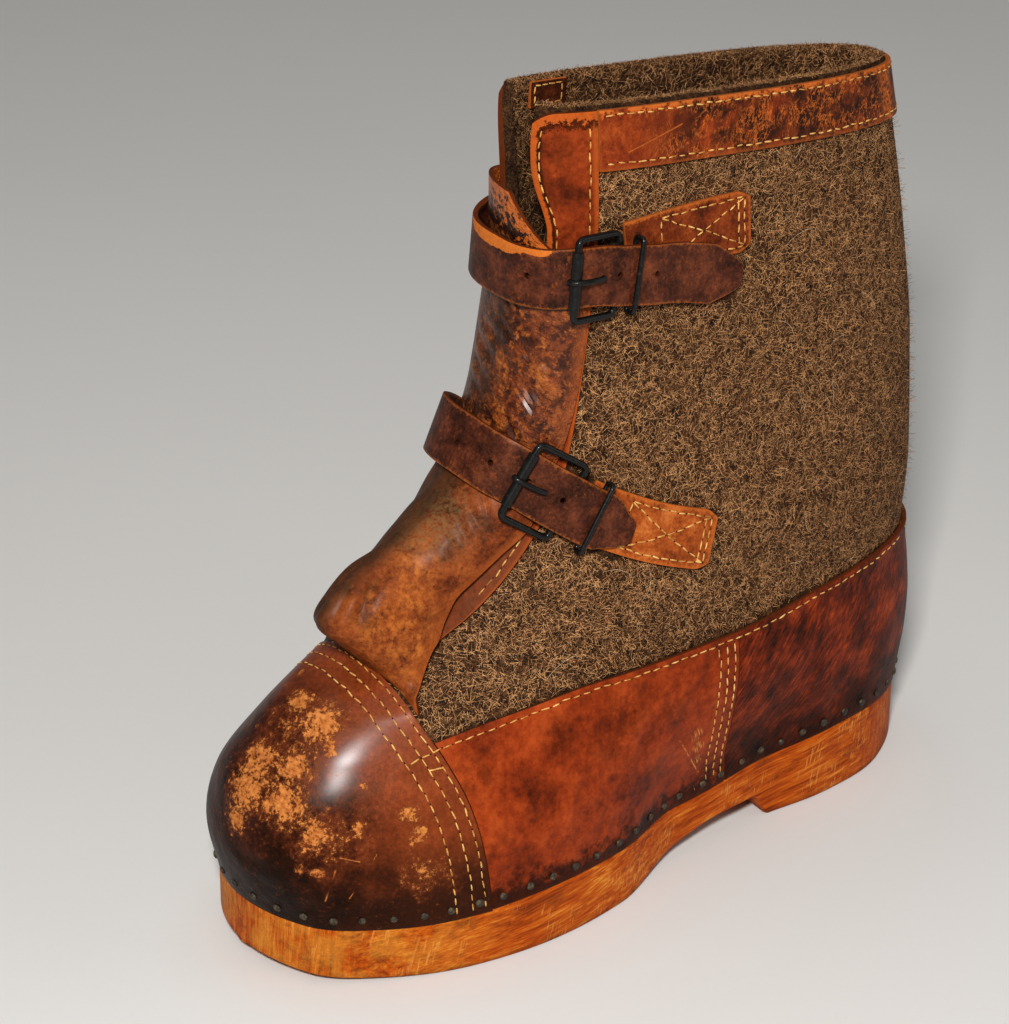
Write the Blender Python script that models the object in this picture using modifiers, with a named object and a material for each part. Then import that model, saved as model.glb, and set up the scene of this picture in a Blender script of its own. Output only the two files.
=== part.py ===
"""Left overboot: felt shaft, nailed leather foot and a carved wooden sole.

The toe points to -Y, the wearer's left, which is the buckle side, to +X, and up is +Z.
Sizes are in millimetres and become metres when a mesh is made.
"""
import math

import bmesh
import bpy
from mathutils import Vector

MM = 0.001

# Driving dimensions
SOLE_LENGTH = 350.0
HALF_LENGTH = SOLE_LENGTH / 2
BALL_WIDTH = 132.0
WOOD_EDGE = 28.0
ARCH_HEIGHT = 12.0
TOE_SPRING = 5.0
HEEL_LENGTH = 103.0
FOOTBED_HEIGHT = 40.0
COLLAR_HEIGHT = 343.0
COLLAR_SLOPE = 22.0
COLLAR_BAND = 27.0

# Thicknesses and clearances
FELT = 5.0
LEATHER = 2.2
GUSSET = 2.0
INSOLE = 4.0
GAP = 0.35
SEAT = 0.6
COLUMNS = 44
HALVINGS = 40

# Straps and buckles
STRAP_WIDTH = 25.0
STRAP = 2.2
WIRE = 3.0
KEEPER_WIRE = 2.2
ROLLER = 4.6

# Shares of the sole's length from the heel, and how far the toe leans to the inner side
ARCH_FRONT = 0.56
FLAT_FRONT = 0.80
LEAN_START = 0.45
TOE_LEAN = 3.8

# Heights over which the foot's shape gives way to the shaft's
OUTLINE_FADE = 75.0
LINE_FADE = 60.0
LEAN_FADE = 120.0
SLOPE_START = 170.0

# Sole outline, half widths as shares of the ball width
OUTLINE = (
    # station from the heel, outer, inner
    (0.03, 0.171, 0.155),
    (0.09, 0.287, 0.273),
    (0.20, 0.351, 0.330),
    (0.33, 0.345, 0.315),
    (0.45, 0.370, 0.348),
    (0.57, 0.476, 0.445),
    (0.69, 0.514, 0.486),
    (0.80, 0.483, 0.465),
    (0.90, 0.389, 0.368),
    (0.965, 0.280, 0.273),
)

# Upper edge of the wood above WOOD_EDGE
WOOD_LINE = (
    # station from the heel, rise
    (0.00, 0.6),
    (0.15, 6.5),
    (0.30, 3.5),
    (0.45, -0.7),
    (0.65, 0.0),
    (0.85, -2.4),
    (1.00, 1.0),
)

# Level sections of the felt: back and front are set in from the ends of the sole,
# the half widths are shares of the ball width.
SECTIONS = (
    # height, back, front, outer, inner, widest y, back squareness, front squareness
    (28.0, 2.0, 2.0, 0.485, 0.462, -62.0, 2.6, 2.30),
    (55.0, -0.5, -3.5, 0.481, 0.458, -52.0, 2.6, 2.25),
    (75.0, 0.5, -0.8, 0.458, 0.436, -40.0, 2.6, 2.15),
    (95.0, 3.5, 12.5, 0.432, 0.409, -20.0, 2.6, 2.05),
    (110.0, 5.5, 31.0, 0.409, 0.390, 0.0, 2.6, 2.00),
    (120.0, 5.5, 57.0, 0.402, 0.379, 10.0, 2.6, 2.00),
    (130.0, 4.5, 75.0, 0.394, 0.371, 18.0, 2.6, 2.05),
    (147.0, 3.5, 90.0, 0.383, 0.364, 25.0, 2.6, 2.10),
    (167.0, 3.8, 105.0, 0.360, 0.348, 35.0, 2.6, 2.20),
    (187.0, 4.5, 118.0, 0.337, 0.333, 42.0, 2.6, 2.35),
    (210.0, 5.0, 130.0, 0.307, 0.314, 48.0, 2.6, 2.60),
    (245.0, 8.0, 137.0, 0.265, 0.285, 52.0, 2.55, 3.00),
    (290.0, 13.5, 141.0, 0.212, 0.228, 52.0, 2.5, 3.60),
    (COLLAR_HEIGHT, 23.0, 133.0, 0.159, 0.172, 52.0, 2.4, 4.20),
)
FOOT_ROWS = (WOOD_EDGE + SEAT, 38, 50, 64, 78, 90, 100, 109, 117, 124)
SHAFT_ROWS = (117, 124, 134, 150, 170, 190, 215, 245, 285, COLLAR_HEIGHT)
FELT_ROWS = FOOT_ROWS + SHAFT_ROWS[2:]

# Seams seen from the side
CAP_SEAM = (
    # height, y of the toe cap's back edge
    (20.0, -93.0),
    (52.0, -97.0),
    (75.0, -100.5),
    (92.0, -105.0),
    (115.0, -112.5),
    (130.0, -115.0),
)
COUNTER_SEAM = (
    # height, y of the counter's front edge
    (20.0, 45.0),
    (70.0, 40.0),
    (130.0, 42.0),
)
FOXING_TOP = (
    # y, height of the leather's upper edge
    (-125.0, 96.0),
    (-106.0, 101.0),
    (-70.0, 106.5),
    (-30.0, 110.0),
    (40.0, 110.0),
    (90.0, 113.5),
    (190.0, 116.5),
)
FACING_BACK = (
    # height, y of the facing's back edge
    (128.0, -94.0),
    (142.0, -77.0),
    (160.0, -59.0),
    (180.0, -44.0),
    (205.0, -31.0),
    (262.0, -20.0),
    (300.0, -15.5),
    (390.0, -14.5),
)
# Gusset from the toe cap up: where its fold lies on the felt and how its ridge rises in front
GUSSET_ROWS = (
    # fold height, fold y, ridge y, ridge height, shoulder
    (115.5, -107.5, -111.0, 129.0, 0.58),
    (119.0, -104.0, -122.0, 132.0, 0.58),
    (124.0, -99.5, -131.0, 137.5, 0.58),
    (129.0, -94.5, -132.5, 146.0, 0.58),
    (134.0, -90.0, -126.5, 155.0, 0.58),
    (141.0, -85.5, -115.5, 162.5, 0.58),
    (149.0, -79.5, -101.0, 169.0, 0.58),
    (158.0, -70.5, -88.0, 177.0, 0.58),
    (167.0, -60.5, -76.0, 187.0, 0.57),
    (178.0, -49.0, -65.5, 198.0, 0.55),
    (192.0, -42.0, -57.0, 211.0, 0.50),
    (210.0, -34.0, -49.5, 228.0, 0.42),
    (235.0, -27.5, -44.5, 249.0, 0.36),
    (262.0, -23.5, -41.5, 271.0, 0.34),
    (285.0, -23.0, -41.0, 293.0, 0.32),
    (302.0, -23.0, -41.5, 315.0, 0.30),
)
INNER_EDGE_BACK = 6.0
INNER_EDGE_START = 125.0
INNER_EDGE_FADE = 40.0
SEAM_AHEAD = 3.0
GUSSET_COLUMNS = 13
THROAT = (
    # height, outer x, inner x of the felt's front edges
    (125.0, 9.0, -9.0),
    (150.0, 14.0, -15.0),
    (220.0, 14.0, -17.0),
    (400.0, 13.0, -18.5),
)
STRAP_UPPER = (
    # angle, height, lift above the felt
    (98.0, 265.5, 3.0),
    (105.0, 268.0, 3.0),
    (118.0, 272.5, 3.8),
    (127.0, 274.0, 5.4),
    (133.0, 275.2, 6.2),
    (139.0, 276.2, 7.6),
    (147.0, 277.5, 8.8),
    (155.0, 277.5, 10.2),
    (165.0, 276.5, 11.0),
    (180.0, 275.5, 11.2),
    (196.0, 275.5, 11.2),
    (208.0, 276.0, 10.8),
    (217.0, 277.0, 8.8),
    (225.0, 278.0, 4.2),
    (233.0, 279.0, 1.6),
    (241.0, 280.0, 0.5),
    (261.0, 282.0, 0.5),
)
STRAP_LOWER = (
    # angle, height, lift above the felt
    (121.5, 170.5, 3.0),
    (126.0, 173.5, 3.2),
    (131.0, 177.5, 4.8),
    (137.0, 181.8, 6.2),
    (143.5, 186.5, 8.0),
    (152.0, 191.5, 9.4),
    (160.0, 195.5, 12.0),
    (169.0, 198.5, 16.0),
    (180.0, 200.5, 18.0),
    (192.0, 200.0, 17.2),
    (203.0, 196.5, 14.0),
    (211.0, 192.0, 10.5),
    (217.0, 187.5, 6.4),
    (223.0, 183.0, 2.6),
    (229.0, 179.0, 0.5),
    (248.0, 166.0, 0.5),
)
ANCHOR_UPPER = (
    # angle, height, lift above the felt
    (93.0, 287.0, GAP),
    (105.0, 286.5, GAP),
    (118.0, 285.0, GAP),
    (134.0, 282.5, GAP),
)
ANCHOR_LOWER = (
    # angle, height, lift above the felt
    (98.5, 156.5, GAP),
    (112.0, 165.5, GAP),
    (126.0, 175.5, GAP),
    (138.0, 183.5, GAP),
)
ANCHOR_WIDTH = 26.0
BANDS = (
    # name, path, width, thickness, steps, length of the narrowed tip, width share at its end
    ("strap_upper", STRAP_UPPER, STRAP_WIDTH, STRAP, 30, 16.0, 0.3),
    ("strap_lower", STRAP_LOWER, STRAP_WIDTH, STRAP, 30, 16.0, 0.3),
    ("anchor_upper", ANCHOR_UPPER, ANCHOR_WIDTH, LEATHER, 10, 6.0, 0.75),
    ("anchor_lower", ANCHOR_LOWER, ANCHOR_WIDTH, LEATHER, 10, 6.0, 0.75),
)

# Where each buckle's bar and roller and each keeper cross the strap
FASTENINGS = (
    # name, strap, bar angle, roller angle, keeper angle
    ("upper", STRAP_UPPER, 139.0, 156.0, 133.5),
    ("lower", STRAP_LOWER, 143.5, 161.0, 134.5),
)
BAR_DROP = 2 * GAP + WIRE / 2
FRAME_WIDTH = 34.0
ROLLER_WIDTH = 24.0
KEEPER_WIDTH = 31.0
WIRE_CORNER = 3.0
CORNER_SHARE = 0.4
PRONG = 2.4
PRONG_TIP, PRONG_BEND, PRONG_END = 2.0, 3.0, 11.0
PRONG_SINK = 0.7


def smooth(share):
    share = min(max(share, 0.0), 1.0)
    return share * share * (3.0 - 2.0 * share)


def column(table, index):
    return [row[index] for row in table]


def curve_at(table, x, index=1):
    """Value at x of the smooth curve through two columns that never overshoots them."""
    xs, ys = column(table, 0), column(table, index)
    last = len(xs) - 1
    if x <= xs[0]:
        return ys[0]
    if x >= xs[last]:
        return ys[last]
    step = [(ys[k + 1] - ys[k]) / (xs[k + 1] - xs[k]) for k in range(last)]
    slope = [step[0]] + [0.0] * (last - 1) + [step[-1]]
    for k in range(1, last):
        if step[k - 1] * step[k] > 0.0:
            slope[k] = 2.0 * step[k - 1] * step[k] / (step[k - 1] + step[k])
    k = max(i for i in range(last) if xs[i] <= x)
    width = xs[k + 1] - xs[k]
    t = (x - xs[k]) / width
    start = (1 + 2 * t) * (1 - t) ** 2 * ys[k] + t * (1 - t) ** 2 * width * slope[k]
    end = t * t * (3 - 2 * t) * ys[k + 1] - t * t * (1 - t) * width * slope[k + 1]
    return start + end


def run(low, high, count=9):
    """Evenly spaced numbers from low to high."""
    return [low + (high - low) * k / (count - 1) for k in range(count)]


def station_angle(station):
    return math.acos(1 - 2 * min(max(station, 0.0), 1.0))


def outline_half(station, side):
    """Half width of the sole at a share of its length, side 1 outer and 2 inner."""
    fullness = [(station_angle(row[0]), row[side] / math.sin(station_angle(row[0]))) for row in OUTLINE]
    angle = station_angle(station)
    return BALL_WIDTH * math.sin(angle) * curve_at(fullness, angle)


def toe_shift(station):
    """The toe leans a little to the inner side."""
    return -TOE_LEAN * max(0.0, (station - LEAN_START) / (1 - LEAN_START)) ** 2


def wood_line(y):
    return WOOD_EDGE + curve_at(WOOD_LINE, (HALF_LENGTH - y) / SOLE_LENGTH)


def surface(angle, height):
    """Point of the felt's outer face: angle 0 back, 90 outer side, 180 front."""
    back_in, front_in, outer, inner, widest, back_square, front_square = [
        curve_at(SECTIONS, height, index) for index in range(1, 8)
    ]
    back, front = HALF_LENGTH - back_in, -HALF_LENGTH + front_in
    turn = math.radians(angle)
    station = (1 - math.cos(turn)) / 2
    y = back + (front - back) * station
    is_outer = math.sin(turn) >= 0
    if y > widest:
        share, square = (y - widest) / (back - widest), back_square
    else:
        share, square = (widest - y) / (widest - front), front_square
    bulge = max(0.0, 1 - min(share, 1.0) ** square) ** (1 / square)
    x = BALL_WIDTH * (outer if is_outer else inner) * bulge
    low = 1 - smooth((height - WOOD_EDGE) / OUTLINE_FADE)
    foot = outline_half(station, 1 if is_outer else 2) - LEATHER * abs(math.sin(turn))
    x = x * (1 - low) + foot * low
    x = (x if is_outer else -x) + toe_shift(station) * (1 - smooth((height - LINE_FADE) / LEAN_FADE))
    tilt = COLLAR_SLOPE * (station - 0.5) * smooth((height - SLOPE_START) / (COLLAR_HEIGHT - SLOPE_START))
    wave = (wood_line(y) - WOOD_EDGE) * (1 - smooth((height - WOOD_EDGE) / LINE_FADE))
    return Vector((x, y, height + tilt + wave))


def normal(angle, height):
    reach = 0.5
    around = surface(angle + reach, height) - surface(angle - reach, height)
    top, bottom = min(height + reach, COLLAR_HEIGHT), max(height - reach, WOOD_EDGE)
    return (surface(angle, top) - surface(angle, bottom)).cross(around).normalized()


def lifted(angle, height, lift):
    return surface(angle, height) + normal(angle, height) * lift


def angle_of(y, height):
    """Angle on the outer side at which the section at this height reaches y."""
    back = HALF_LENGTH - curve_at(SECTIONS, height, 1)
    front = -HALF_LENGTH + curve_at(SECTIONS, height, 2)
    return math.degrees(station_angle((back - y) / (back - front)))


def sheet(name, rows, closed, thickness, offset):
    """Shell on an open surface through rows of points; closed rows run right round."""
    cols = len(rows[0])
    body = bmesh.new()
    grid = [[body.verts.new(point * MM) for point in row] for row in rows]
    for low, high in zip(grid, grid[1:]):
        for k in range(cols if closed else cols - 1):
            after = (k + 1) % cols
            body.faces.new((low[k], high[k], high[after]))
            body.faces.new((low[k], high[after], low[after]))
    mesh = bpy.data.meshes.new(name)
    body.to_mesh(mesh)
    body.free()
    obj = bpy.data.objects.new(name, mesh)
    shell = obj.modifiers.new("Solidify", "SOLIDIFY")
    shell.thickness = thickness * MM
    shell.offset = offset
    return obj


def ring(name, rows, lift, thickness, offset):
    """Shell right round the boot on its surface moved out by a lift."""
    angles = [360.0 * k / COLUMNS for k in range(COLUMNS)]
    return sheet(name, [[lifted(a, h, lift) for a in angles] for h in rows], True, thickness, offset)


def prism(name, outline, low, high, axis):
    """Outline swept along one axis; its two numbers fill the other axes in order."""
    def place(pair, depth):
        values = list(pair)
        values.insert("XYZ".index(axis), depth)
        return Vector(values) * MM

    body = bmesh.new()
    face = body.faces.new([body.verts.new(place(pair, low)) for pair in outline])
    swept = bmesh.ops.extrude_face_region(body, geom=[face])["geom"]
    far = [item for item in swept if isinstance(item, bmesh.types.BMVert)]
    bmesh.ops.translate(body, verts=far, vec=place((0.0, 0.0), high - low))
    bmesh.ops.recalc_face_normals(body, faces=body.faces)
    bmesh.ops.triangulate(body, faces=body.faces)
    mesh = bpy.data.meshes.new(name)
    body.to_mesh(mesh)
    body.free()
    return bpy.data.objects.new(name, mesh)


def boolean(obj, tool, operation):
    cut = obj.modifiers.new(operation.title(), "BOOLEAN")
    cut.object = tool
    cut.operation = operation
    cut.solver = "EXACT"


def inset(points, depth):
    """Closed outline moved in by a depth along its own normals."""
    moved = []
    for k, point in enumerate(points):
        along = Vector(points[(k + 1) % len(points)]) - Vector(points[k - 1])
        moved.append((point[0] + depth * along.y / along.length, point[1] - depth * along.x / along.length))
    return moved


def sole_outline():
    """Outline from the heel's middle round the outer side to the toe and back."""
    points = []
    for k in range(COLUMNS):
        turn = math.radians(360.0 * k / COLUMNS)
        station = (1 - math.cos(turn)) / 2
        half = outline_half(station, 1) if math.sin(turn) >= 0 else -outline_half(station, 2)
        points.append((half + toe_shift(station), HALF_LENGTH - SOLE_LENGTH * station))
    return points


def sole_profile():
    """Side of the wood: heel, breast, arch, flat forefoot and toe spring below, wood line above."""
    beyond = 10.0
    breast_rise, breast_rake = 10.5, 6.0
    heel_front = HALF_LENGTH - HEEL_LENGTH
    arch_back = heel_front - breast_rake
    points = [(HALF_LENGTH + beyond, 0.0), (heel_front, 0.0), (arch_back, breast_rise)]
    arch_front = HALF_LENGTH - ARCH_FRONT * SOLE_LENGTH
    flat_front = HALF_LENGTH - FLAT_FRONT * SOLE_LENGTH
    arch_steps, full_arch = 10, 0.75
    for k in range(1, arch_steps):
        share = 1 - k / arch_steps
        y = arch_front + (arch_back - arch_front) * share
        points.append((y, ARCH_HEIGHT * smooth(share / full_arch)))
    points += [(arch_front, 0.0), (flat_front, 0.0)]
    toe_run = HALF_LENGTH + flat_front
    toe_steps = 6
    for k in range(1, toe_steps + 1):
        points.append((flat_front - toe_run * k / toe_steps, TOE_SPRING * (k / toe_steps) ** 2))
    points.append((-HALF_LENGTH - beyond, TOE_SPRING))
    edge = run(-HALF_LENGTH - beyond, HALF_LENGTH + beyond, 29)
    points += [(y, wood_line(y)) for y in edge]
    return points


def make_sole():
    far = BALL_WIDTH
    body = prism("sole", sole_outline(), -far, far, "Z")
    boolean(body, cutter(prism("sole_side", sole_profile(), -far, far, "X")), "INTERSECT")
    plug_inset = LEATHER + FELT + SEAT
    plug = prism("footbed", inset(sole_outline(), plug_inset), WOOD_EDGE / 2, FOOTBED_HEIGHT, "Z")
    boolean(body, cutter(plug), "UNION")
    return body


def make_insole():
    depth = LEATHER + FELT + 2 * SEAT
    bottom = FOOTBED_HEIGHT + GAP
    return prism("insole", inset(sole_outline(), depth), bottom, bottom + INSOLE, "Z")


def make_upper():
    felt = ring("upper", FELT_ROWS, 0.0, FELT, -1.0)
    edge = [(row[1], row[0]) for row in THROAT] + [(row[2], row[0]) for row in reversed(THROAT)]
    boolean(felt, cutter(prism("throat", edge, -SOLE_LENGTH, 0.0, "Y")), "DIFFERENCE")
    return felt


def overlay(name, source, outline, low, high):
    """Piece of a leather ring inside an outline that is seen from the side."""
    piece = source.copy()
    piece.name, piece.data = name, source.data.copy()
    boolean(piece, cutter(prism(name + "_cut", outline, low, high, "X")), "INTERSECT")
    return piece


def make_foot_leather():
    far = SOLE_LENGTH
    leather = ring("foot_leather", FOOT_ROWS, GAP, LEATHER, 1.0)
    base, cap_top, foxing_top = CAP_SEAM[0][0], CAP_SEAM[-1][0], FOXING_TOP[1][1]
    cap = [(curve_at(CAP_SEAM, h), h) for h in run(base, cap_top)] + [(-far, cap_top), (-far, base)]
    pieces = [overlay("toe_cap", leather, cap, -far, far)]
    front = [(curve_at(CAP_SEAM, h) + GAP, h) for h in run(base, foxing_top)]
    seam_top = curve_at(FOXING_TOP, COUNTER_SEAM[-1][1])
    back = [(curve_at(COUNTER_SEAM, h) - GAP, h) for h in run(seam_top, base)]
    top = [(y, curve_at(FOXING_TOP, y)) for y in run(front[-1][0], back[0][0])][1:-1]
    for name, low, high in (("foxing_outer", 0.0, far), ("foxing_inner", -far, 0.0)):
        pieces.append(overlay(name, leather, front + top + back, low, high))
    seam = [(curve_at(COUNTER_SEAM, h), h) for h in run(base, seam_top)]
    behind = FOXING_TOP[-1][0]
    heel_top = [(y, curve_at(FOXING_TOP, y)) for y in run(seam[-1][0], behind)][1:]
    heel = seam + heel_top + [(behind, base)]
    pieces.append(overlay("counter", leather, heel, -far, far))
    return pieces


def collar_line(y):
    back = HALF_LENGTH - SECTIONS[-1][1]
    front = -HALF_LENGTH + SECTIONS[-1][2]
    return COLLAR_HEIGHT + COLLAR_SLOPE * ((back - y) / (back - front) - 0.5)


def make_shaft_leather():
    far = SOLE_LENGTH
    leather = ring("shaft_leather", SHAFT_ROWS, GAP, LEATHER, 1.0)
    start, end = FACING_BACK[-1][1] + GAP, HALF_LENGTH
    band = [(y, collar_line(y) - COLLAR_BAND) for y in (start, end)]
    band += [(end, collar_line(end) + COLLAR_BAND), (start, collar_line(start) + COLLAR_BAND)]
    pieces = [overlay("collar_band", leather, band, -far, far)]
    edge = [(curve_at(FACING_BACK, h), h) for h in run(FACING_BACK[0][0], FACING_BACK[-1][0], 17)]
    strip = edge + [(-far, edge[-1][1]), (-far, edge[0][1])]
    pieces.append(overlay("facing_outer", leather, strip, THROAT[1][1], far))
    pieces.append(overlay("facing_inner", leather, strip, -far, THROAT[-1][2]))
    return pieces


def gusset_edges(height, fold):
    """Angles of the gusset's outer fold and of its inner edge."""
    back = INNER_EDGE_BACK * smooth((height - INNER_EDGE_START) / INNER_EDGE_FADE)
    return angle_of(fold, height), 360.0 - angle_of(fold + back, height)


def gusset_seam(share):
    """Point just behind the toe cap's edge where the gusset starts."""
    low, high = FOXING_TOP[0][1], CAP_SEAM[-1][0]
    for _ in range(HALVINGS):
        middle = (low + high) / 2
        outer, inner = gusset_edges(middle, GUSSET_ROWS[0][1] - SEAM_AHEAD)
        angle = outer + (inner - outer) * share
        point = surface(angle, middle)
        if point.y > curve_at(CAP_SEAM, point.z) + GUSSET + 2 * GAP:
            high = middle
        else:
            low = middle
    return lifted(angle, high, 3 * GAP)


def make_gusset():
    shares = run(0.0, 1.0, GUSSET_COLUMNS)
    rest = LEATHER + 4 * GAP
    inside = [[gusset_seam(share) for share in shares]]
    for height, fold, ridge_y, ridge_height, shoulder in GUSSET_ROWS:
        outer, inner = [lifted(angle, height, rest) for angle in gusset_edges(height, fold)]
        middle = (outer + inner) / 2
        rise = Vector((middle.x, ridge_y, ridge_height)) - middle
        arch = [max(0.0, math.sin(math.pi * share)) ** shoulder for share in shares]
        inside.append([outer.lerp(inner, share) + rise * arch[k] for k, share in enumerate(shares)])
    return sheet("gusset", inside, False, GUSSET, 1.0)


def path_place(table, share):
    """Angle, height and lift along a strap table, share 0 at its outer end."""
    steps = [(k / (len(table) - 1),) + row for k, row in enumerate(table)]
    return [curve_at(steps, share, index) for index in (1, 2, 3)]


def path_frame(table, share):
    """Point, direction towards the inner end, width and outward directions of a strap."""
    reach = 0.01
    point = lifted(*path_place(table, share))
    ahead = lifted(*path_place(table, min(share + reach, 1.0)))
    behind = lifted(*path_place(table, max(share - reach, 0.0)))
    along = (ahead - behind).normalized()
    angle, height, _ = path_place(table, share)
    width = normal(angle, height).cross(along).normalized()
    return point, along, width, along.cross(width).normalized()


def make_strap(name, table, full_width, thickness, count, tip_length, tip_share):
    """Band along a table; its outer end narrows to a tip."""
    places = [path_frame(table, k / count)[0] for k in range(count + 1)]
    length, rows = 0.0, []
    for k in range(count + 1):
        point, _, width, _ = path_frame(table, k / count)
        length += (places[k] - places[k - 1]).length if k else 0.0
        half = full_width / 2 * min(1.0, tip_share + (1 - tip_share) * length / tip_length)
        rows.append([point + width * half * side for side in (-1, 0, 1)])
    return sheet(name, rows, False, thickness, 1.0)


def make_wire(name, points, thickness, cyclic):
    """Round wire along straight runs, made into a mesh."""
    curve = bpy.data.curves.new(name, "CURVE")
    curve.dimensions = "3D"
    curve.bevel_depth = thickness / 2 * MM
    curve.bevel_resolution = 2
    curve.use_fill_caps = True
    spline = curve.splines.new("POLY")
    spline.points.add(len(points) - 1)
    spline.use_cyclic_u = cyclic
    for knot, point in zip(spline.points, points):
        knot.co = (*(point * MM), 1.0)
    guide = bpy.data.objects.new(name, curve)
    bpy.context.scene.collection.objects.link(guide)
    mesh = bpy.data.meshes.new_from_object(guide.evaluated_get(bpy.context.evaluated_depsgraph_get()))
    bpy.data.objects.remove(guide, do_unlink=True)
    body = bmesh.new()
    body.from_mesh(mesh)
    bmesh.ops.remove_doubles(body, verts=body.verts, dist=0.00001)
    bmesh.ops.recalc_face_normals(body, faces=body.faces)
    body.to_mesh(mesh)
    body.free()
    return bpy.data.objects.new(name, mesh)


def rounded_loop(low, high, width, side):
    """Corners of a bent frame: low and high are its two bars, each corner cut in two steps."""
    corner = min(WIRE_CORNER, CORNER_SHARE * (high - low).length)
    points = []
    for bar, other, sign in ((low, high, -1), (low, high, 1), (high, low, 1), (high, low, -1)):
        towards = (other - bar).normalized() * corner
        tip = bar + side * width / 2 * sign
        inward = side * -corner * sign
        bends = [tip + towards, tip + (towards + inward) * 0.3, tip + inward]
        points += bends if (sign > 0) == (bar is high) else bends[::-1]
    return points


def angle_share(table, angle):
    """Share along a strap table at which it crosses an angle."""
    low, high = 0.0, 1.0
    for _ in range(HALVINGS):
        middle = (low + high) / 2
        if path_place(table, middle)[0] < angle:
            low = middle
        else:
            high = middle
    return low


def make_fastening(name, table, bar_angle, roller_angle, keeper_angle):
    under, _, bar_side, bar_out = path_frame(table, angle_share(table, bar_angle))
    bar = under - bar_out * BAR_DROP
    over, along, roller_side, out = path_frame(table, angle_share(table, roller_angle))
    roller = over + out * (STRAP + 2 * GAP + ROLLER / 2)
    side = (bar_side + roller_side).normalized()
    frame = make_wire("buckle_" + name, rounded_loop(bar, roller, FRAME_WIDTH, side), WIRE, True)
    ends = [roller + side * ROLLER_WIDTH / 2 * sign for sign in (-1, 1)]
    boolean(frame, cutter(make_wire("roller_" + name, ends, ROLLER, False)), "UNION")
    crest = roller + out * ROLLER / 2
    prong_end = roller - along * PRONG_END - out * PRONG_SINK
    prong = [crest + along * PRONG_TIP, crest - along * PRONG_BEND, prong_end]
    boolean(frame, cutter(make_wire("prong_" + name, prong, PRONG, False)), "UNION")
    point, _, side, out = path_frame(table, angle_share(table, keeper_angle))
    low = point - out * (GAP + KEEPER_WIRE / 2)
    high = point + out * (STRAP + GAP + KEEPER_WIRE / 2)
    keeper = make_wire("keeper_" + name, rounded_loop(low, high, KEEPER_WIDTH, side), KEEPER_WIRE, True)
    return [frame, keeper]


def cutter(obj):
    obj.hide_render = True
    obj.display_type = "WIRE"
    cutters.objects.link(obj)
    return obj


SHARP = math.radians(40.0)
FINISHES = (
    # start of the node's name, colour, roughness, metallic
    ("sole", (0.50, 0.24, 0.07, 1.0), 0.55, 0.0),
    ("insole", (0.16, 0.13, 0.10, 1.0), 0.95, 0.0),
    ("upper", (0.13, 0.10, 0.075, 1.0), 0.95, 0.0),
    ("toe_cap", (0.14, 0.035, 0.015, 1.0), 0.35, 0.0),
    ("foxing", (0.18, 0.05, 0.02, 1.0), 0.45, 0.0),
    ("counter", (0.15, 0.045, 0.02, 1.0), 0.45, 0.0),
    ("collar_band", (0.17, 0.055, 0.02, 1.0), 0.5, 0.0),
    ("facing", (0.22, 0.07, 0.025, 1.0), 0.5, 0.0),
    ("gusset", (0.28, 0.10, 0.03, 1.0), 0.45, 0.0),
    ("strap", (0.09, 0.03, 0.02, 1.0), 0.45, 0.0),
    ("anchor", (0.25, 0.085, 0.03, 1.0), 0.5, 0.0),
    ("buckle", (0.01, 0.01, 0.01, 1.0), 0.3, 0.8),
    ("keeper", (0.01, 0.01, 0.01, 1.0), 0.3, 0.8),
)


def paint(obj):
    obj.data.shade_smooth()
    obj.data.set_sharp_from_angle(angle=SHARP)
    for start, colour, roughness, metallic in FINISHES:
        if obj.name.startswith(start):
            material = bpy.data.materials.new(obj.name)
            material.use_nodes = True
            shader = material.node_tree.nodes["Principled BSDF"]
            shader.inputs["Base Color"].default_value = colour
            shader.inputs["Roughness"].default_value = roughness
            shader.inputs["Metallic"].default_value = metallic
            obj.data.materials.clear()
            obj.data.materials.append(material)


def stand_on_origin():
    """Shift everything so that the middle of the boot's box stands over the origin."""
    bpy.context.view_layer.update()
    seen = bpy.context.evaluated_depsgraph_get()
    corners = [Vector(corner) for obj in boot for corner in obj.evaluated_get(seen).bound_box]
    low = [min(corner[axis] for corner in corners) for axis in range(3)]
    high = [max(corner[axis] for corner in corners) for axis in range(3)]
    stand = bpy.data.objects.new("stand", None)
    stand.location = (-(low[0] + high[0]) / 2, -(low[1] + high[1]) / 2, -low[2])
    parts.objects.link(stand)
    for obj in list(parts.objects) + list(cutters.objects):
        if obj is not stand:
            obj.parent = stand


for item in list(bpy.data.objects):
    bpy.data.objects.remove(item, do_unlink=True)
parts = bpy.data.collections.new("overboot")
cutters = bpy.data.collections.new("cutters")
for group in (parts, cutters):
    bpy.context.scene.collection.children.link(group)

boot = [make_sole(), make_insole(), make_upper(), make_gusset()]
boot += make_foot_leather() + make_shaft_leather()
boot += [make_strap(*band) for band in BANDS]
for fastening in FASTENINGS:
    boot += make_fastening(*fastening)
for obj in boot:
    parts.objects.link(obj)
    paint(obj)
stand_on_origin()
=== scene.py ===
# Looks of a left overboot: felt shaft, leather foot, folded gusset, straps and wooden sole
import math

import bpy
import numpy as np
from mathutils import Matrix, Vector


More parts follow.
